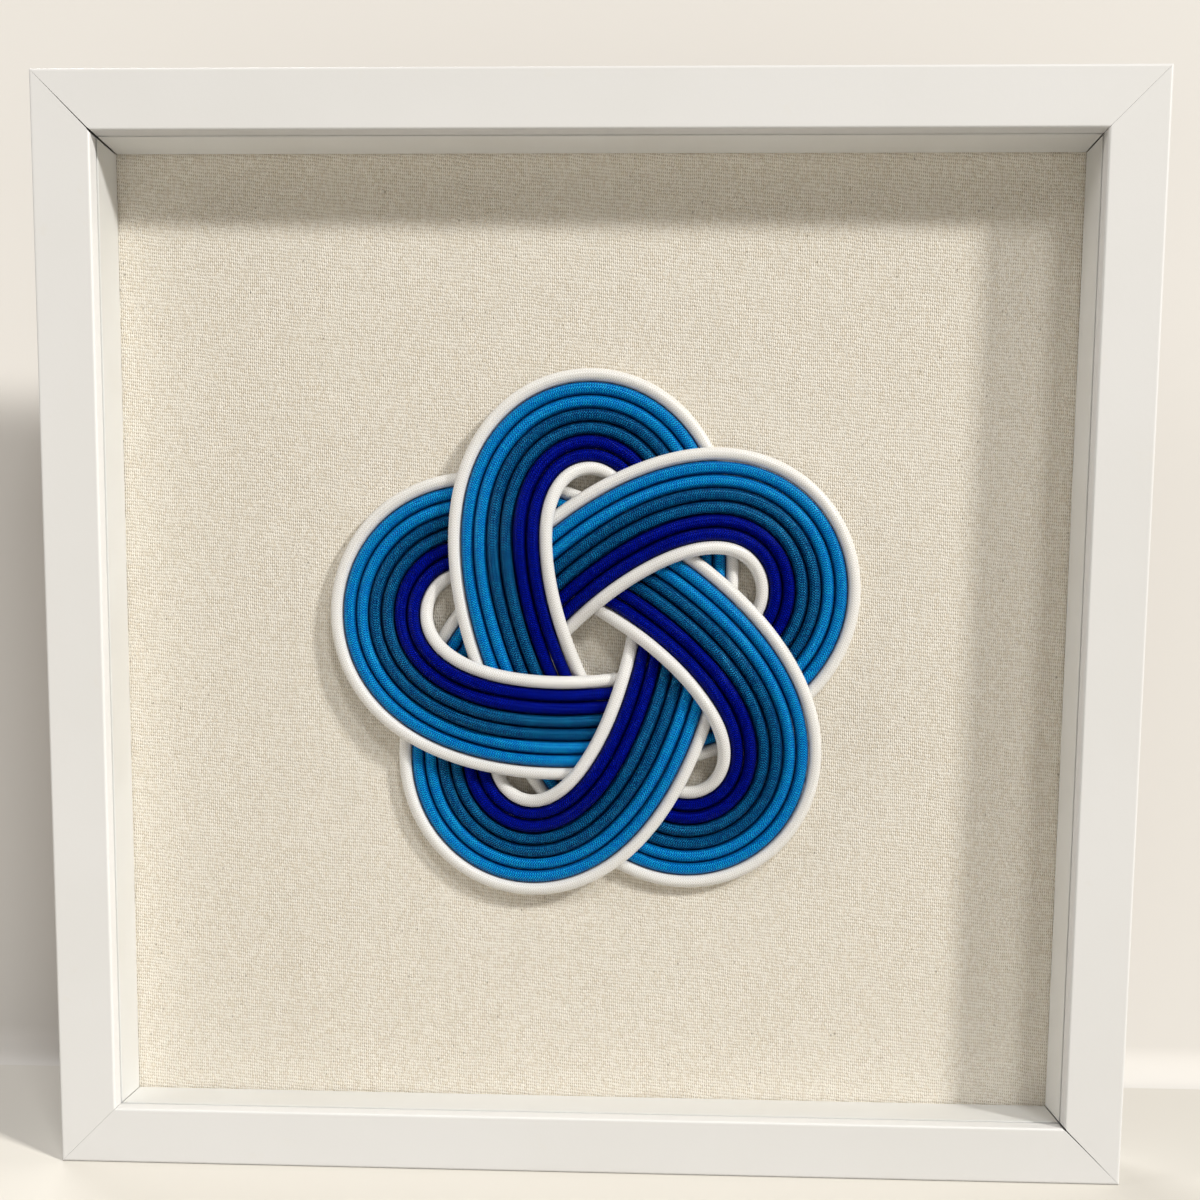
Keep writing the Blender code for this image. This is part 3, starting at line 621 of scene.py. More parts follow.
points, faces = linen_surface()
linen = make_piece("linen_cloth", points, faces, woven_linen(), smooth=pi)
cloth_wall = linen.modifiers.new("cloth thickness", "SOLIDIFY")
cloth_wall.thickness = LINEN_THICKNESS
cloth_wall.offset = -1.0
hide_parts("linen_facing")


# Mount board
# A square of grey mount card, cut with a knife. The linen is drawn over it, and it sits behind the
# spacers in the rabbet.

CARD_DARK = (0.44, 0.42, 0.38)
CARD_LIGHT = (0.62, 0.60, 0.56)
CARD_RELIEF = 0.00006
card = Finish("mount_card", Roughness=0.9, Specular_IOR_Level=0.2)
card_fibre = card.noise(card.place(), 900.0, 4.0, 0.6)
card.feed(card.shader, {"Base Color": card.mix(card_fibre, CARD_DARK, CARD_LIGHT)})
card.bump(card_fibre, CARD_RELIEF, 0.5)
card.wear("mount_board")


# Knot
# Eight closed rounds of braided polyester cord, laid side by side in one band and tied as a five-lobed
# rosette, each strand over one and under the next. Each cord is a tight tube braid of twenty-four yarns,
# two over and two under, so it shows twelve columns of stitches that lean by turns left and right.

CORD_DIAMETER = 0.00365
CORD_GAP = 0.0003
KNOT_RADIUS = 0.0825
CENTRE_HOLE_RADIUS = 0.0078
KNOT_CENTRE = (0.0026, -0.0016)
KNOT_TURN = 95.0
LOBE_FLATTENING = -0.00125
LOBE_SQUARING = 0.0004
# What hand-tying leaves: circles of so many turns, this radius, and a start at that angle.
HAND_TYING = ((1, 0.00068, -22.0), (3, 0.00065, 102.0), (-4, 0.00038, -60.0))
LOBES = 5
LAPS = 3
STATIONS_PER_LOBE = 24
SETTLE_ROUNDS = 1500
PARTING_ROUNDS = 2
STIFFNESS = 0.06
TAUTNESS = 0.10
SINKING = 0.0027
SETTLED_SHARE = 0.001
FINER = 20
BRAID_RADIUS = 0.00194
RIDGE_HEIGHT = 0.000072
COLUMN_DIP = 0.000072
STITCH_PITCH = 0.00077
STITCH_LEAN = 0.62
YARN_GLOW = (1.0, 0.95, 0.90)
YARN_GLOW_DEPTH = 0.0016
STITCH_COLUMNS = 12
STEPS_PER_COLUMN = 2
TURN_BETWEEN_CORDS = 1.7
# How far a cord's side must face sideways before painted shade starts on it, and where that shade is full.
GAP_SHADE_FROM = 0.62
GAP_SHADE_TO = 1.0
CORDS = ("white_inner", "navy_inner", "navy_outer", "petrol_inner", "petrol_outer", "azure_inner",
         "azure_outer", "white_outer")
# Each yarn's colours: one for its grooves, which is painted shade, one for its dye, one for its crowns
# painted lighter as if lit, and one for a painted highlight at their tips. Then come its specular tint, its
# gloss, how far its sides are painted into shade where it lies against its neighbours, how much light goes
# through it, and the height of its relief in metres.
YARNS = {
    "white": {"groove_shade": (0.720, 0.700, 0.655), "deep": (0.965, 0.960, 0.945),
              "bright": (0.998, 0.997, 0.992), "tip": (1.0, 1.0, 0.998), "shine": (1.0, 1.0, 1.0),
              "gloss": 0.30, "gap_shade": 0.0, "glow": 0.20, "relief": 0.00008},
    "navy": {"groove_shade": (0.0001, 0.0002, 0.020), "deep": (0.0001, 0.0003, 0.115),
             "bright": (0.0002, 0.0035, 0.600), "tip": (0.002, 0.022, 0.780), "shine": (0.03, 0.12, 1.0),
             "gloss": 0.20, "gap_shade": 0.85, "glow": 0.0, "relief": 0.00017},
    "petrol": {"groove_shade": (0.0001, 0.003, 0.028), "deep": (0.0001, 0.011, 0.105),
               "bright": (0.001, 0.155, 0.600), "tip": (0.010, 0.400, 0.760), "shine": (0.06, 0.60, 1.0),
               "gloss": 0.40, "gap_shade": 0.92, "glow": 0.0, "relief": 0.00017},
    "azure": {"groove_shade": (0.0001, 0.014, 0.120), "deep": (0.0001, 0.135, 0.700),
              "bright": (0.001, 0.545, 1.0), "tip": (0.012, 0.760, 1.0), "shine": (0.06, 0.70, 1.0),
              "gloss": 0.45, "gap_shade": 0.92, "glow": 0.0, "relief": 0.00017},
}
CORD_PITCH = CORD_DIAMETER + CORD_GAP
BAND_WIDTH = (len(CORDS) - 1) * CORD_PITCH + CORD_DIAMETER


def band_centre(lap_angle):
    """Centreline of the band and its left-hand normal, as complex numbers x + iz from the knot's centre.

    A point runs round a large circle three times one way while a smaller circle carries it
    twice the other way, which gives five lobes. Small extra circles round the lobes off."""
    far = KNOT_RADIUS - BAND_WIDTH / 2
    near = CENTRE_HOLE_RADIUS + BAND_WIDTH / 2
    large = (far + near) / 2 - LOBE_FLATTENING
    small = (far - near) / 2 - LOBE_SQUARING
    circles = [(-LAPS, large), (LOBES - LAPS, small)]
    circles += [(2 * LOBES - LAPS, LOBE_FLATTENING), (-LOBES - LAPS, LOBE_SQUARING)]
    lobe = np.exp(1j * radians(KNOT_TURN))
    circles = [(turns, size * lobe) for turns, size in circles]
    circles += [(turns, size * np.exp(1j * radians(angle))) for turns, size, angle in HAND_TYING]
    centre = sum(size * np.exp(1j * turns * lap_angle) for turns, size in circles)
    along = sum(1j * turns * size * np.exp(1j * turns * lap_angle) for turns, size in circles)
    return centre, 1j * along / abs(along)


def cord_routes(stations):
    """The plan of every cord, innermost first, as rows of complex stations."""
    centre, normal = band_centre(tau * np.arange(stations) / stations)
    offsets = (np.arange(len(CORDS)) - (len(CORDS) - 1) / 2) * CORD_PITCH
    return centre + offsets[:, None] * normal


def crossings(routes):
    """Where any two cords cross in plan: arrays of (cord, station) for the one on top and the one below.

    A strand that is on its way out to a lobe's tip lies over one that comes back from a tip,
    so the strand that has gone further since its last tip is the one on top."""
    cords, stations = routes.shape
    found = []
    for upper in range(cords):
        for lower in range(cords):
            start = routes[upper][:, None]
            run = np.roll(routes[upper], -1)[:, None] - start
            other = routes[lower][None]
            other_run = np.roll(routes[lower], -1)[None] - other
            turn = (np.conj(run) * other_run).imag
            turn = np.where(turn == 0.0, np.inf, turn)
            on_upper = (np.conj(other - start) * other_run).imag / turn
            on_lower = (np.conj(other - start) * run).imag / turn
            meets = (on_upper >= 0) & (on_upper < 1) & (on_lower >= 0) & (on_lower < 1)
            if upper == lower:
                apart = abs(np.subtract.outer(np.arange(stations), np.arange(stations)))
                meets &= np.minimum(apart, stations - apart) > 1
            first, second = np.nonzero(meets)
            first_at = first + on_upper[meets]
            second_at = second + on_lower[meets]
            since_tip = (first_at % STATIONS_PER_LOBE) > (second_at % STATIONS_PER_LOBE)
            found.append((np.full(since_tip.sum(), upper), first_at[since_tip],
                          np.full(since_tip.sum(), lower), second_at[since_tip]))
    return [np.concatenate(column) for column in zip(*found)]


def settled_heights(routes):
    """Height of every cord's middle above the linen, as stiff cords sink on to each other.

    Each round smooths the cords, lets them down a little, and then parts every pair that crosses
    closer than a cord's thickness and its gap. Last, whatever is still too close is lifted clear."""
    cords, stations = routes.shape
    upper, upper_at, lower, lower_at = crossings(routes)
    apart = CORD_DIAMETER + SEAT_GAP
    lowest = CORD_DIAMETER / 2 + SEAT_GAP

    def stations_beside(cord, at):
        """The stations before and after a place on a cord, and its share of the way between them."""
        before = np.floor(at).astype(int)
        share = at - before
        return cord * stations + before % stations, cord * stations + (before + 1) % stations, share

    over_a, over_b, over_share = stations_beside(upper, upper_at)
    under_a, under_b, under_share = stations_beside(lower, lower_at)

    def lack(height):
        """How much the two cords of each crossing are too close."""
        top = height[over_a] * (1 - over_share) + height[over_b] * over_share
        bottom = height[under_a] * (1 - under_share) + height[under_b] * under_share
        return np.clip(apart - (top - bottom), 0.0, None)

    def shift(first, second, amount):
        """The largest of the crossings' amounts at each of their two stations, and 0 elsewhere."""
        moved = np.zeros(cords * stations)
        np.maximum.at(moved, first, amount)
        np.maximum.at(moved, second, amount)
        return moved

    since_tip = (np.arange(stations) % STATIONS_PER_LOBE) / STATIONS_PER_LOBE
    height = np.tile(lowest + CORD_DIAMETER * (1 - np.sin(tau * since_tip)), cords)
    for _ in range(SETTLE_ROUNDS):
        rows = height.reshape(cords, stations)
        sag = np.roll(rows, 1, 1) + np.roll(rows, -1, 1) - 2 * rows
        bend = np.roll(sag, 1, 1) + np.roll(sag, -1, 1) - 2 * sag
        rows = rows - STIFFNESS * bend + TAUTNESS * sag - SINKING * CORD_DIAMETER
        height = np.maximum(rows, lowest).ravel()
        for _ in range(PARTING_ROUNDS):
            share = lack(height) / 2
            parted = height + shift(over_a, over_b, share) - shift(under_a, under_b, share)
            height = np.maximum(parted, lowest)
    for _ in range(SETTLE_ROUNDS):
        missing = lack(height)
        if missing.max() < SETTLED_SHARE * SEAT_GAP:
            break
        height = height + shift(over_a, over_b, missing)
    return height.reshape(cords, stations)


def between_stations(rows):
    """Each round of heights made finer: a cubic through the four stations about every new one."""
    before, here, after, beyond = (np.roll(rows, shift, axis=1)[..., None] for shift in (1, 0, -1, -2))
    share = np.arange(FINER) / FINER
    cubic = (2 * here + (after - before) * share + (2 * before - 5 * here + 4 * after - beyond) * share ** 2
             + (3 * here - before - 3 * after + beyond) * share ** 3) / 2
    return cubic.reshape(len(rows), -1)


def slow_turn(share, start):
    """The braid's columns wander about the cord by two slow sine waves in each round."""
    return start + 0.45 * np.sin(tau * 2 * share + start) + 0.30 * np.sin(tau * 5 * share + 2 * start)


def braided_cord(line, start):
    """A closed tube braid round a closed line of points, with its braid map of (column, stitch).

    Rows run half a stitch apart, so they fall by turns on the stitches' crowns and in the grooves
    between them, and from one column of stitches to the next the two change places. A row zigzags
    along the cord by the lean's share of a stitch across each column. The radius is the braid's, plus
    the ridge height times the sine across the column, less the dip where two columns meet. start is
    the angle from which the columns wander. Last comes each point's share of painted shade, from 0 on
    the cord's front to 1 at its sides and behind, where it lies in shade against its neighbours."""
    step = np.roll(line, -1, axis=0) - line
    lengths = np.linalg.norm(step, axis=1)
    whole = lengths.sum()
    at = np.concatenate([[0.0], np.cumsum(lengths)])
    closed = np.concatenate([line, line[:1]])
    tangent = np.roll(line, -1, axis=0) - np.roll(line, 1, axis=0)
    tangent = np.concatenate([tangent, tangent[:1]])
    stitches = round(whole / STITCH_PITCH)
    rows = 2 * stitches
    columns = STITCH_COLUMNS * STEPS_PER_COLUMN
    row = np.arange(rows)[:, None]
    column = np.arange(columns)[None]
    across = (column % STEPS_PER_COLUMN) / STEPS_PER_COLUMN
    stitch_column = column // STEPS_PER_COLUMN
    lean = STITCH_LEAN * np.where(stitch_column % 2 == 0, across, 1 - across)
    along = ((row / 2 + lean) % stitches) * whole / stitches
    crown = np.where((row + stitch_column) % 2 == 0, 1.0, -1.0)
    dome = np.sin(pi * across)
    radius = BRAID_RADIUS + RIDGE_HEIGHT * crown * dome - COLUMN_DIP * (1 - dome)
    place = np.stack([np.interp(along, at, closed[:, k]) for k in range(3)], axis=-1)
    heading = np.stack([np.interp(along, at, tangent[:, k]) for k in range(3)], axis=-1)
    heading /= np.linalg.norm(heading, axis=-1, keepdims=True)
    sideways = np.cross(heading, (0.0, -1.0, 0.0))
    sideways /= np.linalg.norm(sideways, axis=-1, keepdims=True)
    outward = np.cross(sideways, heading)
    angle = tau * column / columns + slow_turn(along / whole, start)
    # The more a point faces sideways, the more painted shade it gets where the cord lies against its
    # neighbours.
    aside = np.sqrt(1 - np.clip(np.sin(angle), 0.0, 1.0) ** 2)
    gap_shade = np.clip((aside - GAP_SHADE_FROM) / (GAP_SHADE_TO - GAP_SHADE_FROM), 0.0, 1.0)
    angle = angle[..., None]
    points = place + radius[..., None] * (np.cos(angle) * sideways + np.sin(angle) * outward)
    faces = grid_faces(rows, columns, wrap_rows=True)
    first_row = np.repeat(np.arange(rows), columns)
    first_column = np.tile(np.arange(columns), rows)
    corner_column = np.stack([first_column, first_column + 1, first_column + 1, first_column], axis=1)
    corner_row = np.stack([first_row, first_row, first_row + 1, first_row + 1], axis=1)
    braid_map = np.stack([corner_column / STEPS_PER_COLUMN, corner_row / 2], axis=-1)
    return points.reshape(-1, 3), faces, braid_map.reshape(-1, 2), gap_shade.ravel()


def braid_finish(name, look):
    """Polyester yarn: each stitch is a round crown with fine filaments along it. Its colour is painted
    lighter on the crown as if lit, with a painted highlight at the peak and painted shade at its edges.

    On the braid map the stitches lie square: the crown is the sine across the column times the cosine
    of the stitch number, shifted by half a stitch in every second column. The cord's sides, where it
    lies against the next cord, are painted darker as shade, and light goes some way through the undyed
    yarn."""
    yarn = Finish("braid_" + name, Specular_IOR_Level=look["gloss"], Specular_Tint=look["shine"],
                  Subsurface_Weight=look["glow"], Subsurface_Radius=YARN_GLOW,
                  Subsurface_Scale=YARN_GLOW_DEPTH)
    where = yarn.place(source="UV")
    column = yarn.axis(where, "X")
    stitch = yarn.axis(where, "Y")
    number = yarn.math("FLOOR", column)
    dome = yarn.math("SINE", (column - number) * pi) ** 0.7
    swing = yarn.math("COSINE", (stitch + (number % 2.0) * 0.5) * tau)
    crown = dome * (0.5 + swing * 0.5)
    stretch = yarn.node("VectorMath", {"operation": "MULTIPLY"}, {0: where, 1: (1.6, 22.0, 1.0)})
    filament = yarn.noise(stretch, 1.0, 2.0, 0.6)
    whole = yarn.math("FLOOR", stitch + (number % 2.0) * 0.5 + 0.5) + number * 17.3
    # The crowns are painted lighter as if lit, with some stitches differing at random, and their peaks get
    # a painted highlight.
    lit = yarn.limits(crown + filament * 0.16 + yarn.random(whole) * 0.20, 0.64, 1.10)
    colour = yarn.mix(lit, look["deep"], look["bright"])
    tip = yarn.limits(crown + filament * 0.20 + yarn.random(whole) * 0.25, 0.90, 1.20)
    colour = yarn.mix(tip, colour, look["tip"])
    # Painted shade in the grooves between the stitches, and on the sides where the cord lies against the
    # next one.
    colour = yarn.mix(yarn.limits(crown, 0.34, 0.02), colour, look["groove_shade"])
    gap_shade = yarn.node("Attribute", {"attribute_name": "gap_shade"}, {}, "Fac")
    colour = yarn.mix(gap_shade * look["gap_shade"], colour, look["groove_shade"])
    yarn.feed(yarn.shader, {"Base Color": colour, "Roughness": 0.15 + filament * 0.10 + gap_shade * 0.20})
    yarn.bump(crown * 0.88 + filament * 0.12, look["relief"], 0.9)
    return yarn


knot_middle = (KNOT_CENTRE[0], MIDDLE_HEIGHT + KNOT_CENTRE[1])
stations = LOBES * STATIONS_PER_LOBE
cord_heights = between_stations(settled_heights(cord_routes(stations)))
cord_plans = cord_routes(stations * FINER)
for number, name in enumerate(CORDS):
    plan = cord_plans[number]
    line = np.stack([knot_middle[0] + plan.real, LINEN_LOW.y - cord_heights[number],
                     knot_middle[1] + plan.imag], axis=1)
    colour = name.split("_")[0]
    points, faces, braid_map, gap_shade = braided_cord(line, TURN_BETWEEN_CORDS * number)
    finish = braid_finish(name, YARNS[colour])
    cord = make_piece("braided_cord_" + name, points, faces, finish, smooth=pi)
    braid = cord.data.uv_layers.new(name="braid")
    braid.uv.foreach_set("vector", braid_map.ravel())
    cord.data.attributes.new("gap_shade", "FLOAT", "POINT").data.foreach_set("value", gap_shade)
    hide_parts("knot_cord_" + name)


# Back panel
# A square of thin brown hardboard, pressed from wood fibre and smooth outside. It lies loose behind the
# linen's flaps, and the turn buttons hold it in.

PANEL_DARK = (0.180, 0.102, 0.052)
PANEL_LIGHT = (0.340, 0.212, 0.118)
PANEL_SPECK = (0.46, 0.33, 0.20)
PANEL_RELIEF = 0.00008
hardboard = Finish("brown_hardboard", Specular_IOR_Level=0.3)
board_place = hardboard.place()
board_fibre = hardboard.noise(hardboard.place((1.0, 1.0, 2.4)), 560.0, 5.0, 0.68)
board_patch = hardboard.noise(board_place, 55.0, 5.0, 0.65)
board_tone = hardboard.limits(board_fibre * 0.82 + board_patch * 0.18, 0.34, 0.66)
board_colour = hardboard.mix(board_tone, PANEL_DARK, PANEL_LIGHT)
board_speck = hardboard.limits(hardboard.noise(board_place, 1500.0, 3.0, 0.7), 0.62, 0.72)
board_colour = hardboard.mix(board_speck * 0.45, board_colour, PANEL_SPECK)
hardboard.feed(hardboard.shader, {"Base Color": board_colour, "Roughness": 0.48 + board_fibre * 0.25})
hardboard.bump(board_fibre * 0.7 + board_speck * 0.3, PANEL_RELIEF, 0.6)
hardboard.wear("back_panel")


# Turn buttons and their screws
# Six blanked and zinc-plated buttons, each held by a steel screw in the rail's back face. They swing over
# the back panel's edge to hold it in, and friction under the head keeps them where they are put.

BUTTON_HUB_RADIUS = 0.0034
BUTTON_TIP_RADIUS = 0.0027
BUTTON_REACH = 0.0160
BUTTON_HOLE_RADIUS = 0.0016
BUTTON_EDGE = 0.00022
BUTTON_ARC_STEPS = 14
BUTTON_SIDE_STEPS = 5
BUTTON_SIDE_SPREAD = 0.6
BUTTON_EDGE_STEPS = 3
SCREW_SHANK_RADIUS = 0.0013
SCREW_HEAD_RADIUS = 0.0027
SCREW_HEAD_EDGE = 0.0007
SCREW_CROSS_ARM = 0.0016
SCREW_CROSS_WIDTH = 0.0007
SCREW_CROSS_DEPTH = 0.0009
SCREW_CROSS_TAPER = 0.6
SCREW_SIDES = 40
HEAD_STEPS = 8
ZINC = (0.70, 0.70, 0.68)
SCREW_STEEL = (0.66, 0.64, 0.59)
# The quarter turns from tip up to each button's closed place.
BUTTON_QUARTERS = {"left_upper": 1, "left_lower": 1, "right_upper": 3, "right_lower": 3, "top": 2,
                   "bottom": 0}


def button_outline():
    """A hub circle and a smaller tip circle joined by their common tangents, hub at the origin, tip up."""
    lean = acos((BUTTON_HUB_RADIUS - BUTTON_TIP_RADIUS) / BUTTON_REACH)
    tip_arc = np.linspace(pi / 2 - lean, pi / 2 + lean, BUTTON_ARC_STEPS + 1)
    hub_arc = np.linspace(pi / 2 + lean, 5 * pi / 2 - lean, BUTTON_ARC_STEPS + 1)
    tip = BUTTON_TIP_RADIUS * np.exp(1j * tip_arc) + 1j * BUTTON_REACH
    hub = BUTTON_HUB_RADIUS * np.exp(1j * hub_arc)
    share = np.linspace(0.0, 1.0, BUTTON_SIDE_STEPS + 1)[1:-1] ** BUTTON_SIDE_SPREAD
    left = tip[-1] + (hub[0] - tip[-1]) * share
    right = (tip[0] + (hub[-1] - tip[0]) * share)[::-1]
    return np.concatenate([tip, left, hub, right])


def button_surface(thickness):
    """The outline and the pivot hole, joined by a ring of faces on either side of the plate.

    Each hole point lies in the direction of its outline point. Towards either side the outline draws
    in and the hole widens, by a quarter circle of the edge radius."""
    outline = button_outline()
    hole = BUTTON_HOLE_RADIUS * outline / abs(outline)
    arc_angle = np.linspace(0.0, pi / 2, BUTTON_EDGE_STEPS + 1)
    rings = []
    for loop, sign in ((outline, 1), (hole, -1)):
        out = (outline - hole) / abs(outline - hole) * sign
        near = [(loop - out * BUTTON_EDGE * (1 - sin(a)), BUTTON_EDGE * (1 - cos(a))) for a in arc_angle]
        far = [(ring, thickness - depth) for ring, depth in near[::-1]]
        rings += near + far if sign == 1 else (near + far)[::-1]
    points = [np.stack([ring.real, np.full(len(ring), depth), ring.imag], axis=1) for ring, depth in rings]
    return np.concatenate(points), grid_faces(len(rings), len(outline), wrap_rows=True).tolist()


def turned(profile, sides=SCREW_SIDES):
    """Rows of (radius, depth) turned about the depth axis, with a point at each end."""
    angle = tau * np.arange(sides) / sides
    rings = [np.stack([radius * np.cos(angle), np.full(sides, depth), radius * np.sin(angle)], axis=1)
             for radius, depth in profile[1:-1]]
    points = np.concatenate(rings + [[[0.0, profile[0][1], 0.0]], [[0.0, profile[-1][1], 0.0]]])
    count = len(rings) * sides
    here = np.arange(sides)
    following = (here + 1) % sides
    last = count - sides
    faces = grid_faces(len(rings), sides).tolist()
    faces += np.stack([np.full(sides, count), following, here], axis=1).tolist()
    faces += np.stack([np.full(sides, count + 1), last + here, last + following], axis=1).tolist()
    return points, faces


def cross_recess(arm, width, top, bottom):
    """A plus sign of four arms that narrows towards its bottom by the taper."""
    quarter = np.array([[arm, -width / 2], [arm, width / 2], [width / 2, width / 2]])
    turns = [quarter @ np.array([[cos(a), sin(a)], [-sin(a), cos(a)]]) for a in np.arange(4) * pi / 2]
    outline = np.concatenate(turns)
    points, faces = prism(outline, bottom, top)
    points[:len(outline), [0, 2]] *= SCREW_CROSS_TAPER
    return points, faces


def round_fitting(name, points, faces, finish, slot, node):
    """A turned piece moved to the middle of its node's box. Its depths are right already."""
    low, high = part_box(node)
    points = placed(points, 0, (low.x + high.x) / 2, 0.0, (low.z + high.z) / 2)
    return make_piece(name, points, faces, finish)


zinc = bright_metal("zinc_plate", ZINC, 0.26, 0.12)
screw_steel = bright_metal("screw_steel", SCREW_STEEL, 0.20, 0.10)
for name, quarter in BUTTON_QUARTERS.items():
    low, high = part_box("turn_button_" + name)
    node = "turn_button_screw_" + name
    shank_low, shank_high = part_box(node)
    pivot_x = (shank_low.x + shank_high.x) / 2
    pivot_z = (shank_low.z + shank_high.z) / 2
    points, faces = button_surface(high.y - low.y)
    points = placed(points, quarter, pivot_x, low.y, pivot_z)
    button = make_piece("button_plate_" + name, points, faces, zinc, body="button_" + name)
    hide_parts("turn_button_" + name)
    seat = high.y + SEAT_GAP
    rim = seat + SCREW_HEAD_EDGE
    top = shank_high.y
    lift = np.linspace(0.0, pi / 2, HEAD_STEPS + 1)[:-1]
    profile = [(0.0, shank_low.y), (SCREW_SHANK_RADIUS, shank_low.y + SCREW_SHANK_RADIUS),
               (SCREW_SHANK_RADIUS, seat), (SCREW_HEAD_RADIUS, seat),
               *zip(SCREW_HEAD_RADIUS * np.cos(lift), rim + (top - rim) * np.sin(lift)), (0.0, top)]
    screw = round_fitting("button_screw_" + name, *turned(profile), screw_steel, "bright_steel", node)
    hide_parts(node)
    points, faces = cross_recess(SCREW_CROSS_ARM, SCREW_CROSS_WIDTH, top + SCREW_CROSS_DEPTH,
                                 top - SCREW_CROSS_DEPTH)
    cut(screw, [round_fitting("recess_" + name, points, faces, screw_steel, "bright_steel", node)])


# Hanger and its nails
# A sawtooth strip of plated steel, nailed to the back panel through its two ears and stepped out
# between them, so that a nail in a wall catches behind it in one of its notches.

HANGER_THICKNESS = 0.0008
HANGER_EAR = 0.0085
HANGER_BEND = 0.0020
HANGER_BEND_STEPS = 5
HANGER_SMOOTH_ANGLE = radians(25.0)
TOOTH_COUNT = 9
TOOTH_HEIGHT = 0.0018
HANGER_EDGE = 0.00016
HANGER_END_SHARE = 0.7
NAIL_SHANK_SHARE = 0.4
NAIL_HEAD_STEPS = 6
NAIL_SIDES = 28


def hanger_surface():
    """A rounded flat section carried along the strip: columns of (x, step out, notch in the lower edge).

    Each column's section is a rectangle from the lower edge plus its notch up to the upper edge, with
    its four corners cut by the edge width."""
    low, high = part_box("sawtooth_hanger")
    middle = (low.x + high.x) / 2
    half = (high.x - low.x) / 2
    out = high.y - low.y - HANGER_THICKNESS
    bend_end = half - HANGER_EAR
    bend_start = bend_end - HANGER_BEND
    bend = np.linspace(0.0, 1.0, HANGER_BEND_STEPS + 1)
    slope = bend * bend * (3 - 2 * bend)
    tooth_x = np.linspace(-bend_start, bend_start, 2 * TOOTH_COUNT + 1)
    x = np.concatenate([[-half, -half + HANGER_EDGE], -bend_end + bend[:-1] * HANGER_BEND, tooth_x,
                        bend_start + bend[1:] * HANGER_BEND, [half - HANGER_EDGE, half]])
    step = np.concatenate([[0, 0], slope[:-1], np.ones(len(tooth_x)), slope[::-1][1:], [0, 0]]) * out
    notch = np.zeros(len(x))
    first_tooth = 2 + len(bend) - 1
    notch[first_tooth:first_tooth + len(tooth_x)] = TOOTH_HEIGHT * (np.arange(len(tooth_x)) % 2)
    drawn_in = np.zeros(len(x))
    drawn_in[[0, -1]] = HANGER_EDGE * HANGER_END_SHARE
    edge = HANGER_EDGE
    thick = HANGER_THICKNESS
    rings = []
    for depth, up, from_bottom in ((edge, 0, True), (0, edge, True), (0, -edge, False), (edge, 0, False),
                                   (thick - edge, 0, False), (thick, -edge, False), (thick, edge, True),
                                   (thick - edge, 0, True)):
        base = low.z + notch + drawn_in if from_bottom else high.z - drawn_in
        rings.append(np.stack([middle + x, low.y + step + depth, base + up], axis=1))
    return capped(np.stack(rings, axis=1))


points, faces = hanger_surface()
hanger = make_piece("hanger_strip", points, faces, zinc, smooth=HANGER_SMOOTH_ANGLE)
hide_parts("sawtooth_hanger")
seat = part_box("sawtooth_hanger")[0].y + HANGER_THICKNESS + SEAT_GAP
for side in ("left", "right"):
    node = "hanger_nail_" + side
    low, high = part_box(node)
    head = (high.x - low.x) / 2
    shank = head * NAIL_SHANK_SHARE
    lift = np.linspace(0.0, pi / 2, NAIL_HEAD_STEPS + 1)[:-1]
    profile = [(0.0, low.y), (shank, low.y + shank), (shank, seat), (head, seat),
               *zip(head * np.cos(lift), seat + (high.y - seat) * np.sin(lift)), (0.0, high.y)]
    nail = round_fitting("nail_" + side, *turned(profile, NAIL_SIDES), screw_steel, "bright_steel", node)
    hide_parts(node)


# Wall bumpers
# Two punched discs of grey wool felt, stuck on at the foot of the frame's back. They keep it off the wall
# and hanging upright.

FELT_SOFT_EDGE = 0.0007
FELT_FOOT = 0.0002
FELT_FOOT_SHARE = 0.96
FELT_RIM_SHARE = 0.9
FELT_FRAY = 0.02
FELT_TUFTS = 7
FELT_SIDES = 48
FELT_EDGE_STEPS = 5
FELT_DARK = (0.150, 0.145, 0.140)
FELT_LIGHT = (0.40, 0.39, 0.38)
FELT_RELIEF = 0.00025
felt = Finish("grey_felt", Roughness=0.97, Specular_IOR_Level=0.1, Sheen_Weight=0.5, Sheen_Roughness=0.6)
felt_fibre = felt.noise(felt.place(), 2600.0, 4.0, 0.7)
felt_tuft = felt.noise(felt.place(), 700.0, 3.0, 0.6)
felt_tone = felt.limits(felt_fibre * 0.6 + felt_tuft * 0.4, 0.35, 0.68)
felt.feed(felt.shader, {"Base Color": felt.mix(felt_tone, FELT_DARK, FELT_LIGHT)})
felt.bump(felt_fibre * 0.5 + felt_tuft * 0.5, FELT_RELIEF, 0.9)
for side in ("left", "right"):
    node = "wall_bumper_" + side
    low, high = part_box(node)
    radius = (high.x - low.x) / 2
    bend = np.linspace(0.0, pi / 2, FELT_EDGE_STEPS + 1)
    rounded = zip(radius - FELT_SOFT_EDGE * (1 - np.cos(bend)),
                  high.y - FELT_SOFT_EDGE * (1 - np.sin(bend)))
    profile = [(0.0, low.y), (radius * FELT_FOOT_SHARE, low.y), (radius, low.y + FELT_FOOT), *rounded,
               (0.0, high.y)]
    points, faces = turned(profile, FELT_SIDES)
    about = np.arctan2(points[:, 2], points[:, 0])
    rim = np.hypot(points[:, 0], points[:, 2]) > FELT_RIM_SHARE * radius
    points[:, [0, 2]] *= (1 - FELT_FRAY * rim * np.sin(FELT_TUFTS * about) ** 2)[:, None]
    bumper = round_fitting("felt_disc_" + side, points, faces, felt, "felt", node)
    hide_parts(node)


# Floor and backdrop
# A pale shelf that the box stands on, swept up into a pale wall close behind it. The wall shows only
# from the front, and only to the camera, so that it takes no light from the box's back.

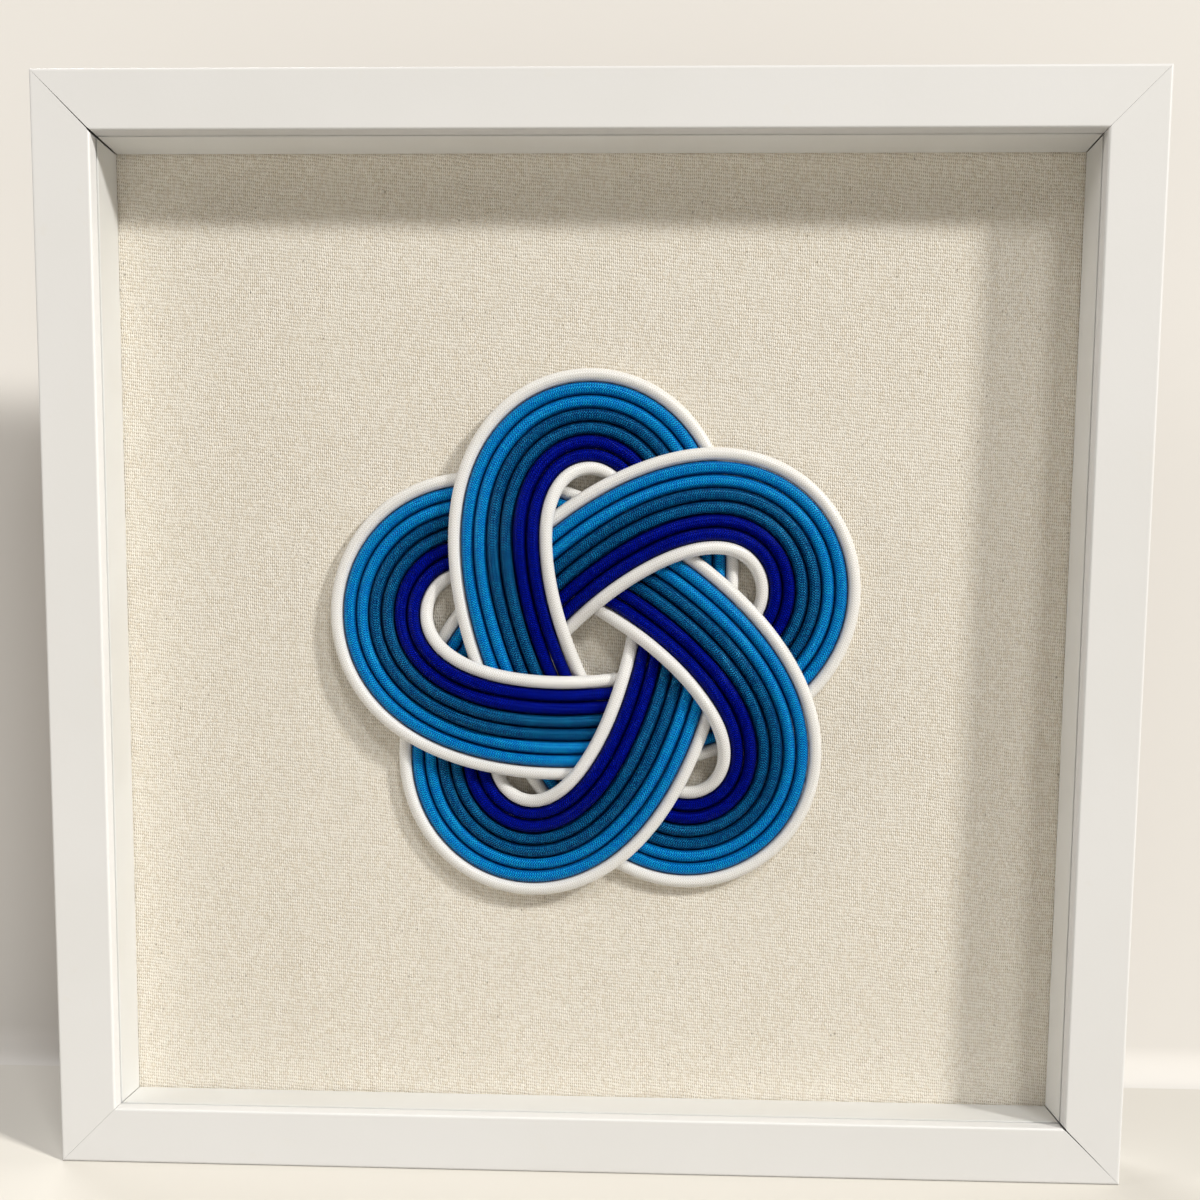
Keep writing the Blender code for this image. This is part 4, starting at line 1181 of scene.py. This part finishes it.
FLOOR_REACH = 2.2
WALL_PLACE = 0.088
SWEEP_RADIUS = 0.012
SWEEP_STEPS = 8
STAGE_HALF_WIDTH = 3.0
WALL_HEIGHT = 1.6
FLOOR_BOUNCE = 0.76
FLOOR_COLOUR = (0.625, 0.600, 0.552)
WALL_COLOUR = (0.668, 0.649, 0.622)


def pale_stage(name, colour, only_from_front):
    """A matt pale surface that throws less light on the box than it shows, as a small shelf would.

    Where only_from_front is set, it shows its front alone, and to the camera alone."""
    pale = Finish(name, Roughness=0.8, Specular_IOR_Level=0.1)
    seen = pale.light_path("Camera", "Glossy", "Transmission")
    dimmed = tuple(channel * FLOOR_BOUNCE for channel in colour)
    pale.feed(pale.shader, {"Base Color": pale.mix(seen, dimmed, colour)})
    if only_from_front:
        behind = pale.node("NewGeometry", {}, {}, "Backfacing")
        clear = pale.node("BsdfTransparent", {}, {})
        solid = Value(pale, pale.shader.outputs[0])
        shown = pale.light_path("Camera") * (1 - behind)
        pale.show(pale.node("MixShader", {}, {0: shown, 1: clear, 2: solid}))
    return pale


def stage_sheet(name, path, pale):
    """A sheet across the scene that follows a path of (depth, height) rows."""
    rows = [np.array([[-STAGE_HALF_WIDTH, y, z], [STAGE_HALF_WIDTH, y, z]]) for y, z in path]
    mesh = bpy.data.meshes.new(name)
    faces = [(2 * k, 2 * k + 1, 2 * k + 3, 2 * k + 2) for k in range(len(path) - 1)]
    mesh.from_pydata(np.concatenate(rows).tolist(), [], faces)
    mesh.materials.append(pale.material)
    mesh.shade_smooth()
    new_object(name, mesh)


sweep_angle = np.linspace(0.0, pi / 2, SWEEP_STEPS + 1)
sweep = [(WALL_PLACE - SWEEP_RADIUS * (1 - sin(a)), SWEEP_RADIUS * (1 - cos(a))) for a in sweep_angle]
pale_floor = pale_stage("pale_floor", FLOOR_COLOUR, False)
stage_sheet("floor", [(-FLOOR_REACH, 0.0), (FLOOR_REACH, 0.0)], pale_floor)
pale_wall = pale_stage("pale_wall", WALL_COLOUR, True)
stage_sheet("backdrop", [*sweep, (WALL_PLACE, WALL_HEIGHT)], pale_wall)


# Light
# A small bright lamp and a larger one high on the right, a long faint one high on the left with a wide one
# beyond it, a broad one behind for the other views, and an even warm room. A lamp's level is what it adds
# to a white surface that faces the front.

LAMP_DISTANCE = 18.0
# Each lamp has a name, the way to it, its size, its level and its colour.
LAMPS = (
    ("lamp_far_right", (1.42, -1.0, 1.03), (1.80, 1.80), 0.600, (1.0, 0.975, 0.925)),
    ("lamp_near_right", (0.45, -1.0, 1.03), (3.30, 3.30), 0.204, (1.0, 1.0, 0.98)),
    ("lamp_left", (-0.90, -1.0, 1.05), (10.80, 1.50), 0.020, (0.93, 0.94, 1.0)),
    ("lamp_far_left", (-3.50, -1.0, 1.20), (5.00, 5.00), 0.080, (1.0, 0.97, 0.93)),
    ("lamp_behind", (-0.60, 1.0, 0.90), (9.00, 9.00), 0.30, (1.0, 1.0, 1.0)),
)
ROOM_LIGHT = 0.143
ROOM_BACKGROUND = 0.90
ROOM_WARMTH = (1.0, 0.88, 0.75)
ROOM_PALENESS = (1.0, 0.97, 0.96)
for name, towards, (width, height), level, colour in LAMPS:
    away = Vector(towards).normalized()
    lamp = bpy.data.lights.new(name, "AREA")
    lamp.shape = "RECTANGLE"
    lamp.size = width
    lamp.size_y = height
    lamp.energy = level * pi ** 2 * LAMP_DISTANCE ** 2 / abs(away.y)
    lamp.color = colour
    stand = new_object(name, lamp)
    stand.location = Vector((0.0, 0.0, MIDDLE_HEIGHT)) + away * LAMP_DISTANCE
    stand.rotation_euler = away.to_track_quat("Z", "Y").to_euler()

world = bpy.data.worlds.new("pale room")
bpy.context.scene.world = world
world.use_nodes = True
room = Nodes(world.node_tree)
shown = room.light_path("Camera", "Glossy", "Transmission")
room.feed(room.tree.nodes["Background"], {"Color": room.mix(shown, ROOM_WARMTH, ROOM_PALENESS),
                                          "Strength": ROOM_LIGHT + shown * (ROOM_BACKGROUND - ROOM_LIGHT)})


# Camera
# Found from the frame's corners in the photograph: just right of the middle, and looking slightly down
# and left. The photograph is cropped below its optical middle, which the shift makes good.

CAMERA_ASIDE = 0.0181
CAMERA_DISTANCE = 0.4099
CAMERA_ABOVE_MIDDLE = 0.0039
CAMERA_ANGLES = (84.08, -0.544, 2.06)
SENSOR_WIDTH = 36.0
FOCAL_LENGTH = 42.18
LENS_SHIFT = 0.145
camera_lens = bpy.data.cameras.new("camera")
camera_lens.sensor_width = SENSOR_WIDTH
camera_lens.lens = FOCAL_LENGTH
camera_lens.shift_y = LENS_SHIFT
camera_lens.clip_start = 0.01
camera = new_object("camera", camera_lens)
camera.location = (CAMERA_ASIDE, RAIL_FRONT - CAMERA_DISTANCE, MIDDLE_HEIGHT + CAMERA_ABOVE_MIDDLE)
camera.rotation_euler = [radians(angle) for angle in CAMERA_ANGLES]
bpy.context.scene.camera = camera
bpy.context.scene.view_settings.view_transform = "Standard"
